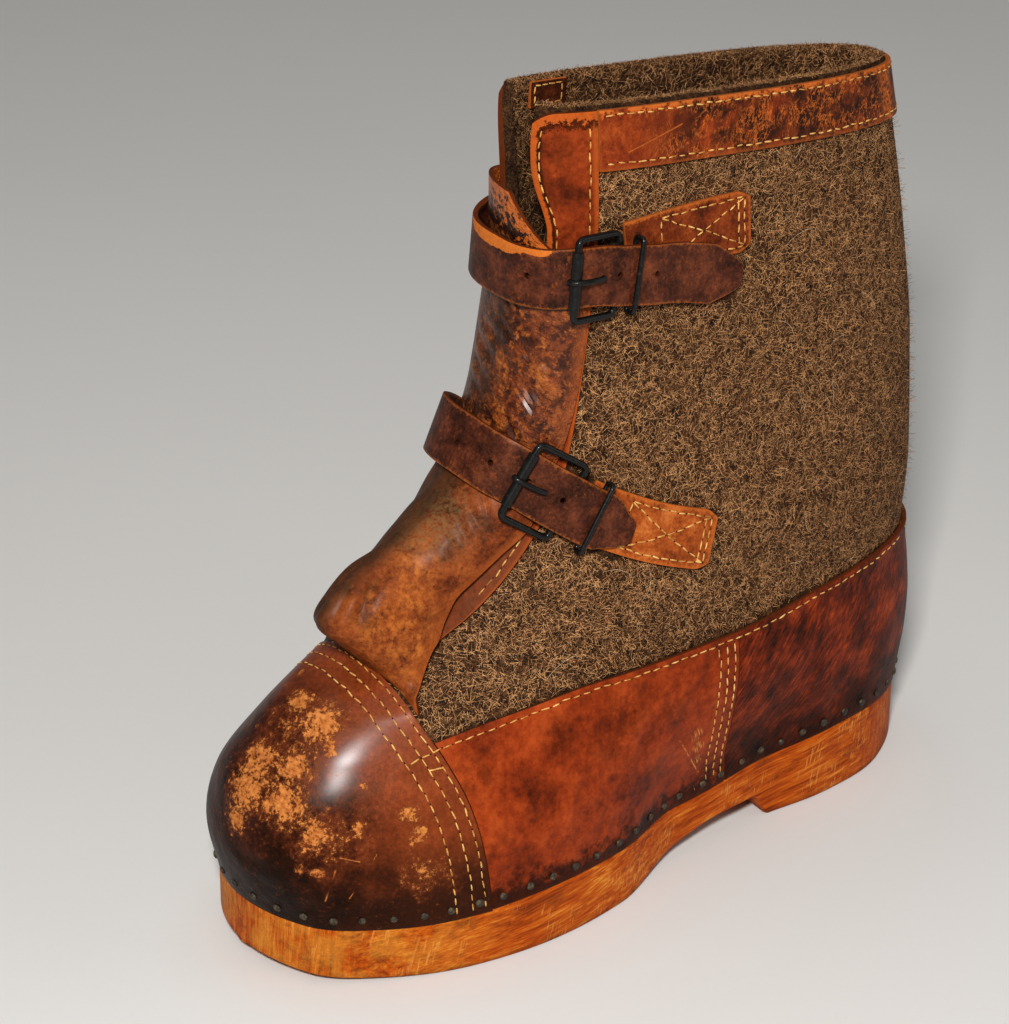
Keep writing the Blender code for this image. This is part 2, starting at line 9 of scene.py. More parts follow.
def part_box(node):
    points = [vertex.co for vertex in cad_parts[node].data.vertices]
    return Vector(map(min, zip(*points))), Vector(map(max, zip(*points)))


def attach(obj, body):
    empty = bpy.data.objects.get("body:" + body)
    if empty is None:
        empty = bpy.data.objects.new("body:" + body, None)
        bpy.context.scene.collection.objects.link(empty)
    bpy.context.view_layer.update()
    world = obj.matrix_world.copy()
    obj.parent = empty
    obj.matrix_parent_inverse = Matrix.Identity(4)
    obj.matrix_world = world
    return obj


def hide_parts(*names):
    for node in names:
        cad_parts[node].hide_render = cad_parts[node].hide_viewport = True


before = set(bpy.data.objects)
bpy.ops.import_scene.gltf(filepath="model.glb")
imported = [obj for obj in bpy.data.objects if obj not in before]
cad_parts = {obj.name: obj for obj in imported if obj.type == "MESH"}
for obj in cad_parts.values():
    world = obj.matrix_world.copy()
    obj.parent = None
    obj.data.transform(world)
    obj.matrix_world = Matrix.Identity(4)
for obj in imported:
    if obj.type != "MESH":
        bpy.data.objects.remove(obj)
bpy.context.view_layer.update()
dice = np.random.default_rng(11)
mm = 0.001
print("frame loaded")

last = {  # the boot's own form in mm: toe towards -Y, buckle side +X, heights above the floor
    "length": 350, "ballWidth": 132, "woodEdge": 28, "seat": 0.6, "footbed": 40, "collar": 343, "slope": 22,
    "felt": 5, "leather": 2.2, "gap": 0.35, "toeLean": 3.8, "leanStart": 0.45,
    "outlineFade": 75, "lineFade": 60, "leanFade": 120, "slopeStart": 170,
    "outline": (  # share of the length from the heel, outer and inner half width by ball width
        (0.03, 0.171, 0.155), (0.09, 0.287, 0.273), (0.20, 0.351, 0.330), (0.33, 0.345, 0.315),
        (0.45, 0.370, 0.348), (0.57, 0.476, 0.445), (0.69, 0.514, 0.486), (0.80, 0.483, 0.465),
        (0.90, 0.389, 0.368), (0.965, 0.280, 0.273)),
    "woodLine": (  # share of the length from the heel, rise of the wood's upper edge
        (0.00, 0.6), (0.15, 6.5), (0.30, 3.5), (0.45, -0.7), (0.65, 0.0), (0.85, -2.4), (1.00, 1.0)),
    "sections": (  # height, back in, front in, outer, inner, widest y, back and front squareness
        (28, 2.0, 2.0, 0.485, 0.462, -62, 2.6, 2.30), (55, -0.5, -3.5, 0.481, 0.458, -52, 2.6, 2.25),
        (75, 0.5, -0.8, 0.458, 0.436, -40, 2.6, 2.15), (95, 3.5, 12.5, 0.432, 0.409, -20, 2.6, 2.05),
        (110, 5.5, 31.0, 0.409, 0.390, 0, 2.6, 2.00), (120, 5.5, 57.0, 0.402, 0.379, 10, 2.6, 2.00),
        (130, 4.5, 75.0, 0.394, 0.371, 18, 2.6, 2.05), (147, 3.5, 90.0, 0.383, 0.364, 25, 2.6, 2.10),
        (167, 3.8, 105.0, 0.360, 0.348, 35, 2.6, 2.20), (187, 4.5, 118.0, 0.337, 0.333, 42, 2.6, 2.35),
        (210, 5.0, 130.0, 0.307, 0.314, 48, 2.6, 2.60), (245, 8.0, 137.0, 0.265, 0.285, 52, 2.55, 3.00),
        (290, 13.5, 141.0, 0.212, 0.228, 52, 2.5, 3.60), (343, 23.0, 133.0, 0.159, 0.172, 52, 2.4, 4.20)),
}
half = last["length"] / 2
leatherFace = last["gap"] + last["leather"]  # lift of a leather piece's outer face
footBase = last["woodEdge"] + last["seat"]


def ease(share):
    share = np.clip(share, 0, 1)
    return share * share * (3 - 2 * share)


# Smooth curve through two columns of a table that never overshoots them
def spline(table, column=1):
    xs = np.array([row[0] for row in table], float)
    ys = np.array([row[column] for row in table], float)
    step = np.diff(ys) / np.diff(xs)
    slope = np.concatenate([step[:1], np.zeros(len(step) - 1), step[-1:]])
    before, after = step[:-1], step[1:]
    same = before * after > 0
    slope[1:-1][same] = 2 * before[same] * after[same] / (before[same] + after[same])

    def at(x):
        x = np.clip(x, xs[0], xs[-1])
        k = np.clip(np.searchsorted(xs, x, side="right") - 1, 0, len(step) - 1)
        width = xs[k + 1] - xs[k]
        t = (x - xs[k]) / width
        start = (1 + 2 * t) * (1 - t) ** 2 * ys[k] + t * (1 - t) ** 2 * width * slope[k]
        return start + t * t * (3 - 2 * t) * ys[k + 1] - t * t * (1 - t) * width * slope[k + 1]

    return at


def stationAngle(station):
    return np.arccos(1 - 2 * np.clip(station, 0, 1))


def fullness(side):
    rows = [(stationAngle(row[0]), row[side] / math.sin(stationAngle(row[0]))) for row in last["outline"]]
    return spline(rows)


outlineFull = {1: fullness(1), 2: fullness(2)}
sectionCurves = [spline(last["sections"], column) for column in range(1, 8)]
woodRise = spline(last["woodLine"])


def outlineHalf(station, side):
    angle = stationAngle(station)
    return last["ballWidth"] * np.sin(angle) * outlineFull[side](angle)


def toeShift(station):
    return -last["toeLean"] * np.maximum(0, (station - last["leanStart"]) / (1 - last["leanStart"])) ** 2


def woodLine(y):
    return last["woodEdge"] + woodRise((half - y) / last["length"])


# Point of the felt's outer face: angle 0 back, 90 buckle side, 180 front, below 0 the inner side
def lastPoint(angle, height):
    angle, height = np.broadcast_arrays(np.asarray(angle, float), np.asarray(height, float))
    backIn, frontIn, outer, inner, widest, backSquare, frontSquare = [at(height) for at in sectionCurves]
    back, front = half - backIn, frontIn - half
    turn = np.radians(angle)
    station = (1 - np.cos(turn)) / 2
    y = back + (front - back) * station
    isOuter = np.sin(turn) >= 0
    behind = y > widest
    share = np.where(behind, (y - widest) / (back - widest), (widest - y) / (widest - front))
    square = np.where(behind, backSquare, frontSquare)
    bulge = np.maximum(0, 1 - np.clip(share, 0, 1) ** square) ** (1 / square)
    x = last["ballWidth"] * np.where(isOuter, outer, inner) * bulge
    low = 1 - ease((height - last["woodEdge"]) / last["outlineFade"])
    foot = np.where(isOuter, outlineHalf(station, 1), outlineHalf(station, 2))
    foot = foot - last["leather"] * np.abs(np.sin(turn))
    x = np.where(isOuter, 1, -1) * (x * (1 - low) + foot * low)
    x = x + toeShift(station) * (1 - ease((height - last["lineFade"]) / last["leanFade"]))
    climb = ease((height - last["slopeStart"]) / (last["collar"] - last["slopeStart"]))
    wave = (woodLine(y) - last["woodEdge"]) * (1 - ease((height - last["woodEdge"]) / last["lineFade"]))
    return np.stack([x, y, height + last["slope"] * (station - 0.5) * climb + wave], -1)


def unit(vectors):
    return vectors / np.maximum(np.linalg.norm(vectors, axis=-1, keepdims=True), 1e-9)


def lastNormal(angle, height):
    angle, height = np.broadcast_arrays(np.asarray(angle, float), np.asarray(height, float))
    around = lastPoint(angle + 0.5, height) - lastPoint(angle - 0.5, height)
    top = np.minimum(height + 0.5, last["collar"])
    bottom = np.maximum(height - 0.5, last["woodEdge"])
    return unit(np.cross(lastPoint(angle, top) - lastPoint(angle, bottom), around))


def onLast(angle, height, lift):
    lift = np.asarray(lift, float)
    return lastPoint(angle, height) + lastNormal(angle, height) * lift[..., None]


# Angle on the buckle side at which a level section reaches y
def angleAt(y, height):
    back, front = half - sectionCurves[0](height), sectionCurves[1](height) - half
    return np.degrees(stationAngle((back - y) / (back - front)))


# Angle from the back, on one side, at which a level section's front comes to that half width
def frontAngle(width, height, side):
    low, high = np.full_like(height, 90.0), np.full_like(height, 180.0)
    for _ in range(30):
        middle = (low + high) / 2
        wide = side * lastPoint(side * middle, height)[..., 0] > width
        low, high = np.where(wide, middle, low), np.where(wide, high, middle)
    return low


stations = np.linspace(0, 1, 801)
soleLow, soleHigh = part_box("sole")
outerMost = (outlineHalf(stations, 1) + toeShift(stations)).max()
innerMost = (toeShift(stations) - outlineHalf(stations, 2)).min()
shift = np.array([
    (soleLow[0] + soleHigh[0]) / 2 / mm - (outerMost + innerMost) / 2,
    (soleLow[1] + soleHigh[1]) / 2 / mm,
    0])


def toFrame(points):
    return (points + shift) * mm


def deselect():
    bpy.ops.object.select_all(action="DESELECT")


def takeNew(name):
    piece = bpy.context.object
    piece.name = piece.data.name = name
    return piece


def readPoints(mesh):
    flat = np.empty(len(mesh.vertices) * 3)
    mesh.vertices.foreach_get("co", flat)
    return flat.reshape(-1, 3)


def writePoints(mesh, points):
    mesh.vertices.foreach_set("co", np.ascontiguousarray(points).ravel())
    mesh.update()


def only(piece):
    deselect()
    piece.select_set(True)
    bpy.context.view_layer.objects.active = piece


def inEdit(piece, *steps):
    only(piece)
    bpy.ops.object.mode_set(mode="EDIT")
    bpy.ops.mesh.select_all(action="SELECT")
    for step in steps:
        step()
    bpy.ops.object.mode_set(mode="OBJECT")


def modify(piece, kind, **settings):
    only(piece)
    step = piece.modifiers.new(kind.title(), kind)
    for key, value in settings.items():
        setattr(step, key, value)
    bpy.ops.object.modifier_apply(modifier=step.name)


def weld():
    bpy.ops.mesh.remove_doubles(threshold=0.00001)


def smoothShade(piece, degrees=40):
    only(piece)
    bpy.ops.object.shade_smooth_by_angle(angle=math.radians(degrees))


# A flat grid laid on the boot by a rule, given a wall and rounded edges; place takes two shares to mm
def sheetPiece(name, mesh, place, wall, outward=1.0, edge=0.4):
    deselect()
    bpy.ops.mesh.primitive_grid_add(x_subdivisions=mesh["columns"], y_subdivisions=mesh["rows"], size=1)
    piece = takeNew(name)
    flat = readPoints(piece.data) + 0.5
    writePoints(piece.data, toFrame(place(flat[:, 0], flat[:, 1])))
    inEdit(piece, weld, bpy.ops.mesh.flip_normals)
    for _ in range(2):
        piece.data.materials.append(None)
    modify(piece, "SOLIDIFY", thickness=wall * mm, offset=outward, material_offset_rim=1,
           use_quality_normals=True)
    modify(piece, "BEVEL", width=edge * mm, segments=2, limit_method="ANGLE", angle_limit=math.radians(50))
    smoothShade(piece)
    return piece


def wirePiece(name, points, thickness, closed, sides=4):
    path = bpy.data.curves.new(name, "CURVE")
    path.dimensions = "3D"
    path.bevel_depth = thickness / 2 * mm
    path.bevel_resolution = sides
    path.use_fill_caps = True
    run = path.splines.new("POLY")
    run.points.add(len(points) - 1)
    run.use_cyclic_u = closed
    for knot, point in zip(run.points, toFrame(np.asarray(points))):
        knot.co = (*point, 1)
    piece = bpy.data.objects.new(name, path)
    bpy.context.scene.collection.objects.link(piece)
    only(piece)
    bpy.ops.object.convert(target="MESH")
    inEdit(piece, weld, bpy.ops.mesh.normals_make_consistent)
    smoothShade(piece, 50)
    return piece


def meshPiece(name, points, faces):
    mesh = bpy.data.meshes.new(name)
    mesh.from_pydata(toFrame(points), [], faces)
    mesh.polygons.foreach_set("use_smooth", np.ones(len(mesh.polygons), bool))
    piece = bpy.data.objects.new(name, mesh)
    bpy.context.scene.collection.objects.link(piece)
    return piece


# Many copies of one small model joined in a mesh; each place is an origin and three axes in mm
def scatter(name, model, places):
    points, faces = readPoints(model.data), [tuple(face.vertices) for face in model.data.polygons]
    places = np.concatenate(places)
    spots = places[:, None, 0] + np.einsum("vk,nkc->nvc", points, places[:, 1:])
    count = len(points)
    allFaces = [tuple(corner + k * count for corner in face) for k in range(len(places)) for face in faces]
    return meshPiece(name, spots.reshape(-1, 3), allFaces)


def dress(piece, finish, edge=None, node=None):
    slots = piece.data.materials
    while len(slots) < (2 if edge else 1):
        slots.append(None)
    for k in range(len(slots)):
        slots[k] = edge if k and edge else finish
    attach(piece, "root")
    if node:
        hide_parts(node)


# One socket of a material; sums and products of it add Math nodes
class Reading:
    def __init__(self, tree, socket):
        self.tree, self.socket = tree, socket

    def reckon(self, operation, *values):
        node = self.tree.nodes.new("ShaderNodeMath")
        node.operation = operation
        for socket, value in zip(node.inputs, values):
            if isinstance(value, Reading):
                self.tree.links.new(value.socket, socket)
            else:
                socket.default_value = value
        return Reading(self.tree, node.outputs[0])

    def __add__(self, other):
        return self.reckon("ADD", self, other)

    def __radd__(self, other):
        return self.reckon("ADD", other, self)

    def __sub__(self, other):
        return self.reckon("SUBTRACT", self, other)

    def __rsub__(self, other):
        return self.reckon("SUBTRACT", other, self)

    def __mul__(self, other):
        return self.reckon("MULTIPLY", self, other)

    def __rmul__(self, other):
        return self.reckon("MULTIPLY", other, self)

    def least(self, other):
        return self.reckon("MINIMUM", self, other)

    def most(self, other):
        return self.reckon("MAXIMUM", self, other)

    def awayFrom(self, middle):
        return self.reckon("ABSOLUTE", self - middle)


def tint(red, green, blue):
    parts = [((c / 255 + 0.055) / 1.055) ** 2.4 if c > 10 else c / 3294 for c in (red, green, blue)]
    return (*parts, 1)


# A material in the making; its patterns and places are in the boot's own mm
class Finish:
    def __init__(self, name, **fixed):
        self.material = bpy.data.materials.new(name)
        self.material.use_nodes = True
        self.tree = self.material.node_tree
        self.shader = self.tree.nodes["Principled BSDF"]
        for key, value in fixed.items():
            self.shader.inputs[key.replace("_", " ")].default_value = value
        place = self.node("TexCoord", {}, {}, "Object")
        self.place = self.vector("MULTIPLY_ADD", place, (1 / mm,) * 3, tuple(-shift))

    def node(self, kind, settings, inputs, output=0):
        node = self.tree.nodes.new("ShaderNode" + kind)
        stops = settings.pop("stops", None)
        for key, value in settings.items():
            setattr(node, key, value)
        if stops:
            ramp = node.color_ramp.elements
            while len(ramp) < len(stops):
                ramp.new(0.5)
            for stop, (position, colour) in zip(ramp, stops):
                stop.position, stop.color = position, colour
        for key, value in inputs.items():
            self.feed(node.inputs[key], value)
        return Reading(self.tree, node.outputs[output])

    def feed(self, socket, value):
        if isinstance(value, Reading):
            self.tree.links.new(value.socket, socket)
        else:
            socket.default_value = value

    def vector(self, operation, *values, output=0):
        return self.node("VectorMath", {"operation": operation}, dict(enumerate(values)), output)

    def scaled(self, vector, amount):
        return self.node("VectorMath", {"operation": "SCALE"}, {0: vector, "Scale": amount})

    # The place drawn out along a direction, so that a pattern on it runs in streaks
    def streaks(self, direction, stretch, place=None):
        place = place or self.place
        direction = tuple(float(part) for part in unit(np.array(direction, float)))
        along = self.vector("DOT_PRODUCT", place, direction, output="Value") * (1 / stretch - 1)
        return self.vector("ADD", place, self.scaled(direction, along))

    def wander(self, size, reach, place=None):  # the place moved about by noise, in mm
        place = place or self.place
        drift = self.node("TexNoise", {}, {"Vector": place, "Scale": 1 / size, "Detail": 3}, "Color")
        drift = self.vector("SUBTRACT", drift, (0.5, 0.5, 0.5))
        return self.vector("ADD", place, self.scaled(drift, reach))

    def noise(self, size, detail=4, rough=0.55, place=None):
        inputs = {"Vector": place or self.place, "Scale": 1 / size, "Detail": detail, "Roughness": rough}
        return self.node("TexNoise", {}, inputs)

    def cells(self, size, place):
        return self.node("TexVoronoi", {}, {"Vector": place, "Scale": 1 / size}, "Distance")

    def between(self, value, low, high):
        inputs = {"Value": value, "From Min": low, "From Max": high}
        return self.node("MapRange", {"interpolation_type": "SMOOTHSTEP"}, inputs)

    def ramp(self, value, *stops):
        return self.node("ValToRGB", {"stops": stops}, {"Fac": value})

    def mix(self, share, first, second, way="MIX"):
        return self.node("Mix", {"data_type": "RGBA", "blend_type": way}, {0: share, 6: first, 7: second}, 2)

    def shade(self, colour, amount):  # amount above 1 lightens, below 1 darkens
        grey = self.node("CombineColor", {}, {0: amount, 1: amount, 2: amount})
        return self.mix(1.0, colour, grey, "MULTIPLY")

    def spots(self, table, soft=0.5, place=None):  # rows of x, y, height, radius; 1 inside, 0 outside
        mask = None
        for x, y, z, radius in table:
            away = self.vector("DISTANCE", place or self.place, (x, y, z), output="Value")
            mark = self.between(away, radius * (1 + soft), radius * (1 - soft))
            mask = mark if mask is None else mask.most(mark)
        return mask

    def patches(self, table):  # rows of share across, share up and the half sizes of both
        across, up = self.shares()
        mask = None
        for middle, level, wide, tall in table:
            aside, above = across.awayFrom(middle) * (1 / wide), up.awayFrom(level) * (1 / tall)
            mark = self.between(aside * aside + above * above, 1.7, 0.25)
            mask = mark if mask is None else mask.most(mark)
        return mask

    def scratches(self, table):  # rows of start, end and width
        mask = None
        for start, end, width in table:
            run = np.subtract(end, start)
            away = self.vector("SUBTRACT", self.place, start)
            share = self.vector("DOT_PRODUCT", away, tuple(run / (run @ run)), output="Value")
            share = share.most(0).least(1)
            gap = self.vector("DISTANCE", away, self.scaled(tuple(run), share), output="Value")
            mark = self.between(gap, width, width * 0.3)
            mask = mark if mask is None else mask.most(mark)
        return mask

    def split(self, vector):
        parts = self.tree.nodes.new("ShaderNodeSeparateXYZ")
        self.tree.links.new(vector.socket, parts.inputs[0])
        return [Reading(self.tree, socket) for socket in parts.outputs]

    def shares(self):  # the piece's own two shares, across and up
        return self.split(self.node("TexCoord", {}, {}, "UV"))[:2]

    # Three browns in clouds and flecks; gives the colour and the flecks
    def hide(self, browns, size):
        clouds = self.noise(size, 6, 0.62)
        flecks = self.noise(size / 7, 6, 0.7)
        dark, mid, light = [tint(*brown) for brown in browns]
        tone = clouds * 0.6 + flecks * 0.4
        return self.ramp(tone, (0.38, dark), (0.50, mid), (0.63, light)), flecks

    # Pores, wrinkles and dents of a worn hide, in mm
    def grain(self, pore=1.3, pit=0.08, wrinkle=0.6, dent=2.5):
        pits = self.cells(pore, self.wander(3, 1.2))
        return pits * pit + self.noise(4, 5, 0.6) * wrinkle + self.noise(24, 2) * dent

    # Where the finish is rubbed off: flecks that close up inside the marked zone, and a halo round them
    def rubbed(self, zone, reach, size):
        ragged = self.noise(size, 9, 0.8) * 0.55 + self.noise(size / 3, 6, 0.75) * 0.45 + zone * reach
        return self.between(ragged, 0.62, 0.672), self.between(ragged, 0.54, 0.64)

    def done(self, colour, rough, relief=None):
        self.feed(self.shader.inputs["Base Color"], colour)
        self.feed(self.shader.inputs["Roughness"], rough)
        if relief is not None:
            bump = self.node("Bump", {}, {"Height": relief, "Distance": mm, "Strength": 1.0})
            self.feed(self.shader.inputs["Normal"], bump)
        return self.material


hideShine = {"Specular_IOR_Level": 0.12, "Specular_Tint": (1.0, 0.62, 0.4, 1.0)}
print("tools ready")

# Seams seen from the side
seams = {
    "cap": ((20, -93.0), (52, -97.0), (75, -100.5), (92, -105.0), (115, -112.5), (130, -115.0)),  # height, y
    "counter": ((20, 45.0), (70, 40.0), (130, 42.0)),  # height, y
    "foxing": ((-125, 96.0), (-106, 101.0), (-70, 106.5), (-30, 110.0), (40, 110.0), (90, 113.5),
               (190, 116.5)),  # y, height
    "facing": ((128, -94.0), (142, -77.0), (160, -59.0), (180, -44.0), (205, -31.0), (262, -20.0),
               (300, -15.5), (390, -14.5)),  # height, y
    "throatOuter": ((125, 9.0), (150, 14.0), (220, 14.0), (290, 13.6), (315, 9.6), (330, 11.0), (345, 13.4)),
    "throatInner": ((125, 9.0), (150, 15.0), (220, 17.0), (400, 18.5)),  # height, x
    "flapOuter": ((128, 14.2), (290, 14.2), (315, 9.8), (330, 11.2), (345, 13.6)),
    "flapInner": ((128, 18.6), (345, 18.6)),
}
seamAt = {name: spline(table) for name, table in seams.items()}

sewn = []       # places of stitches
holeShades = []    # places of the dark discs painted as the shade in the needle's holes
thread = {"pitch": 5.0, "length": 4.3, "width": 0.78, "height": 0.8, "hole": 0.55}


def sewRow(path, out, pitch=None):
    run = np.concatenate([[0], np.cumsum(np.linalg.norm(np.diff(path, axis=0), axis=1))])
    count = max(2, round(run[-1] / (pitch or thread["pitch"])))
    middles = (np.arange(count) + 0.5) * run[-1] / count

    def at(curve, place):
        return np.stack([np.interp(place, run, curve[:, k]) for k in range(3)], 1)

    along = unit(at(path, middles + 0.5) - at(path, middles - 0.5))
    normal = unit(at(out, middles))
    along = unit(along + np.cross(normal, along) * dice.normal(0, 0.07, (count, 1)))
    side = unit(np.cross(normal, along))
    size = thread["length"] * dice.uniform(0.8, 1.12, (count, 1))
    wide = thread["width"] * dice.uniform(0.8, 1.15, (count, 1))
    spot = at(path, middles) + side * dice.normal(0, 0.16, (count, 1))
    sewn.append(np.stack([spot, along * size, side * wide, normal * thread["height"]], 1))
    # a dark disc at each stitch end: painted shade standing in for the needle's hole
    pin = thread["hole"]
    ends = spot + along * size * 0.56
    holeShades.append(np.stack([ends + normal * 0.06, along * pin * 1.4, side * pin, normal], 1))


def sewOnLast(angle, height, lift):
    sewRow(onLast(angle, height, np.broadcast_to(lift, np.shape(angle))), lastNormal(angle, height))


def edgeFinish(name, brown):
    look = Finish(name, **hideShine)
    grain = look.noise(1.5, 5, 0.7)
    return look.done(look.shade(tint(*brown), 0.45 + grain * 1.1), 0.75, grain * 0.3)


cutEdge = edgeFinish("cutEdge", (86, 36, 13))
paleEdge = edgeFinish("paleEdge", (150, 78, 32))

capLook = {
    "columns": 130, "rows": 76, "edgeRise": 0.7, "edgeReach": 7, "rowsFromEdge": (2.5, 8, 15),
    "rubs": (  # x, y, height, radius
        (-2.8, -144.5, 112.7, 7), (13.3, -143.4, 109.8, 10), (15.9, -158.5, 96.1, 8),
        (1.3, -166.5, 93.9, 10), (2.1, -174.6, 83.3, 10), (21.1, -167.0, 82.8, 10), (33.8, -161.5, 72.5, 8),
        (2.4, -179.1, 70.0, 6), (22.1, -145.4, 102.6, 4), (33.0, -167.6, 58.8, 3),
        (37.7, -163.0, 57.2, 2.5), (51.4, -124.9, 77.1, 5), (54.8, -123.8, 68.4, 4),
        (43.0, -146.2, 74.5, 4), (38.0, -139.7, 89.1, 3), (-18.3, -133.4, 114.6, 3)),
    "faintRubs": ((8, -150, 105, 20), (8, -168, 86, 18), (36, -154, 72, 12), (57.0, -123.0, 52, 11)),
    "scratches": (
        ((41.9, -156.7, 58.3), (39.7, -160.5, 43.6), 0.55),
        ((48.9, -141.3, 63.7), (45.1, -152.2, 44.5), 0.4),
        ((12.5, -169.1, 86.7), (14.1, -174.8, 75.2), 0.45),
        ((42.0, -154.5, 63.6), (46.3, -147.7, 61.3), 0.35)),
}


def capTop(fromEdge):  # height at which the seam, moved that far to the toe, crosses the middle
    low, high = np.array(60.0), np.array(last["collar"] / 2)
    for _ in range(40):
        middle = (low + high) / 2
        ahead = lastPoint(180.0, middle)[1] < seamAt["cap"](middle) - fromEdge
        low, high = np.where(ahead, middle, low), np.where(ahead, high, middle)
    return float(low)


def capLift(y, height):
    ahead = np.maximum(0, seamAt["cap"](height) - y)
    return last["gap"] + capLook["edgeRise"] * np.exp(-ahead / capLook["edgeReach"])


def capPlace(across, up):
    top = capTop(0)
    height = top - (top - footBase) * (1 - up) ** 2
    start = angleAt(seamAt["cap"](height), height)
    angle = start + (360 - 2 * start) * across
    return onLast(angle, height, capLift(lastPoint(angle, height)[..., 1], height))


def capFinish():
    look = Finish("toeHide", Coat_Roughness=0.2, **hideShine)
    x, y, z = look.split(look.place)
    colour, flecks = look.hide(((30, 10, 4), (82, 31, 12), (126, 56, 26)), 13)
    seamward = look.between(y, -156, -118)
    colour = look.mix(seamward * 0.5, colour, look.shade(tint(150, 66, 28), 0.45 + flecks))
    cloud = look.noise(20, 5, 0.6) - 0.5
    colour = look.shade(colour, 0.3 + look.between(y + x * 0.3 + cloud * 60, -172, -134) * 0.7)
    colour = look.shade(colour, 0.14 + look.between(z + cloud * 50, 36, 80) * 0.86)
    torn = look.wander(3, 4, look.wander(11, 12))
    zone = look.spots(capLook["rubs"], 0.95, torn).most(look.spots(capLook["faintRubs"], 0.9, torn) * 0.55)
    scar = look.scratches(capLook["scratches"]) * look.between(flecks, 0.36, 0.46)
    rub, halo = look.rubbed(zone, 0.21, 5)
    rub = rub.most(scar)
    colour = look.mix(halo * 0.5, colour, look.shade(tint(122, 56, 25), 0.4 + flecks))
    tan = look.ramp(look.noise(2.5, 6, 0.7), (0.36, tint(138, 64, 23)), (0.62, tint(206, 128, 62)))
    colour = look.mix(rub * 0.92, colour, tan)
    look.feed(look.shader.inputs["Coat Weight"], look.between(z, 66, 92) * (0.17 - rub * 0.12))
    return look.done(colour, 0.4 + flecks * 0.12 + rub * 0.2, look.grain(1.4, 0.06, 0.3, 2.5) - rub * 0.12)


def makeToeCap():
    piece = sheetPiece("toe_leather", capLook, capPlace, last["leather"])
    dress(piece, capFinish(), cutEdge, "toe_cap")
    for away in capLook["rowsFromEdge"]:
        rise = capTop(away) - 0.05 - (capTop(away) - footBase - 2) * np.linspace(1, 0, 90) ** 2
        angle = angleAt(seamAt["cap"](rise) - away, rise)
        angle, rise = np.concatenate([angle, 360 - angle[::-1]]), np.concatenate([rise, rise[::-1]])
        sewOnLast(angle, rise, capLift(lastPoint(angle, rise)[..., 1], rise) + last["leather"])


foxingLook = {
    "columns": 90, "rows": 44, "about": 80, "topRow": 2.6, "backRows": (2.5, 6.8, 11.2),
    "stains": ((60.4, -24.9, 91.2, 14), (54.0, -95.4, 89.2, 10), (59.9, 4.0, 85.5, 8),
               (58.0, -55.6, 94.7, 8), (64.2, -70.0, 71.5, 8), (59.5, -8.1, 55.7, 8)),
    "scuff": ((56.7, 19.3, 66.9, 3.0), (54.6, 22.0, 59.0, 3.0), (52.5, 24.6, 51.1, 2.4)),
    "scratches": (
        ((57.8, 9.2, 68.1), (50.2, 26.3, 42.1), 0.5), ((54.8, 17.4, 57.9), (48.8, 26.1, 32.1), 0.4)),
}


def foxingPlace(side):
    def place(across, up):
        share = across if side > 0 else 1 - across
        height = footBase + foxingLook["about"] * up
        for _ in range(3):
            back, front = seamAt["counter"](height) - last["gap"], seamAt["cap"](height) + last["gap"]
            y = back * (1 - share) + front * share
            height = footBase + (seamAt["foxing"](y) - footBase) * up
        return onLast(side * angleAt(y, height), height, np.full_like(height, last["gap"]))

    return place


def foxingFinish():
    look = Finish("sideHide", **hideShine)
    _, _, z = look.split(look.place)
    colour, flecks = look.hide(((84, 25, 7), (132, 45, 13), (164, 65, 23)), 24)
    mottle = look.between(look.noise(11, 7, 0.7), 0.50, 0.64)
    stain = look.spots(foxingLook["stains"], 0.7) * look.between(look.noise(7, 6, 0.7), 0.38, 0.56)
    colour = look.shade(colour, 1.0 - mottle * 0.22 - stain * 0.38)
    smudge = look.between(z + look.noise(6, 6, 0.7) * 34, 49, 60)
    colour = look.shade(colour, 0.14 + smudge * 0.86)
    fray = look.between(look.noise(0.9, 4, 0.6, look.streaks((-0.2, 0.35, -0.9), 9)), 0.46, 0.58)
    scuff = look.spots(foxingLook["scuff"], 0.6).most(look.scratches(foxingLook["scratches"])) * fray
    colour = look.mix(scuff * 0.8, colour, tint(206, 134, 70))
    return look.done(colour, 0.42 + flecks * 0.16 + scuff * 0.2, look.grain(1.3, 0.07, 0.5, 3.0))


def makeFoxing():
    finish = foxingFinish()
    for side, node in ((1, "foxing_outer"), (-1, "foxing_inner")):
        piece = sheetPiece(node + "_leather", foxingLook, foxingPlace(side), last["leather"])
        dress(piece, finish, cutEdge, node)
        y = np.linspace(-104.5 - 15, 150, 200)
        height = seamAt["foxing"](y) - foxingLook["topRow"]
        lift = np.where(y < seamAt["cap"](height), capLift(y, height) - last["gap"], 0) + leatherFace
        sewOnLast(side * angleAt(y, height), height, lift)
        height = np.full(20, float(seamAt["foxing"](-107)) - foxingLook["topRow"] - 6.5)
        y = seamAt["cap"](height) - np.linspace(*capLook["rowsFromEdge"][:2], 20)
        sewOnLast(side * angleAt(y, height), height, capLift(y, height) + last["leather"])
        for back in foxingLook["backRows"]:
            height = np.linspace(footBase + 6, seamAt["foxing"](40) - 4, 60)
            sewOnLast(side * angleAt(seamAt["counter"](height) - back, height), height, leatherFace)


counterLook = {
    "columns": 110, "rows": 44, "about": 84, "stains": ((49.8, 114.0, 88.8, 5), (49.4, 116.7, 76, 5)),
}


def counterPlace(across, up):
    height = footBase + counterLook["about"] * up
    for _ in range(3):
        seam = angleAt(seamAt["counter"](height), height)
        angle = seam * (2 * across - 1)
        height = footBase + (seamAt["foxing"](lastPoint(angle, height)[..., 1]) - footBase) * up
    return onLast(angle, height, np.full_like(height, last["gap"]))


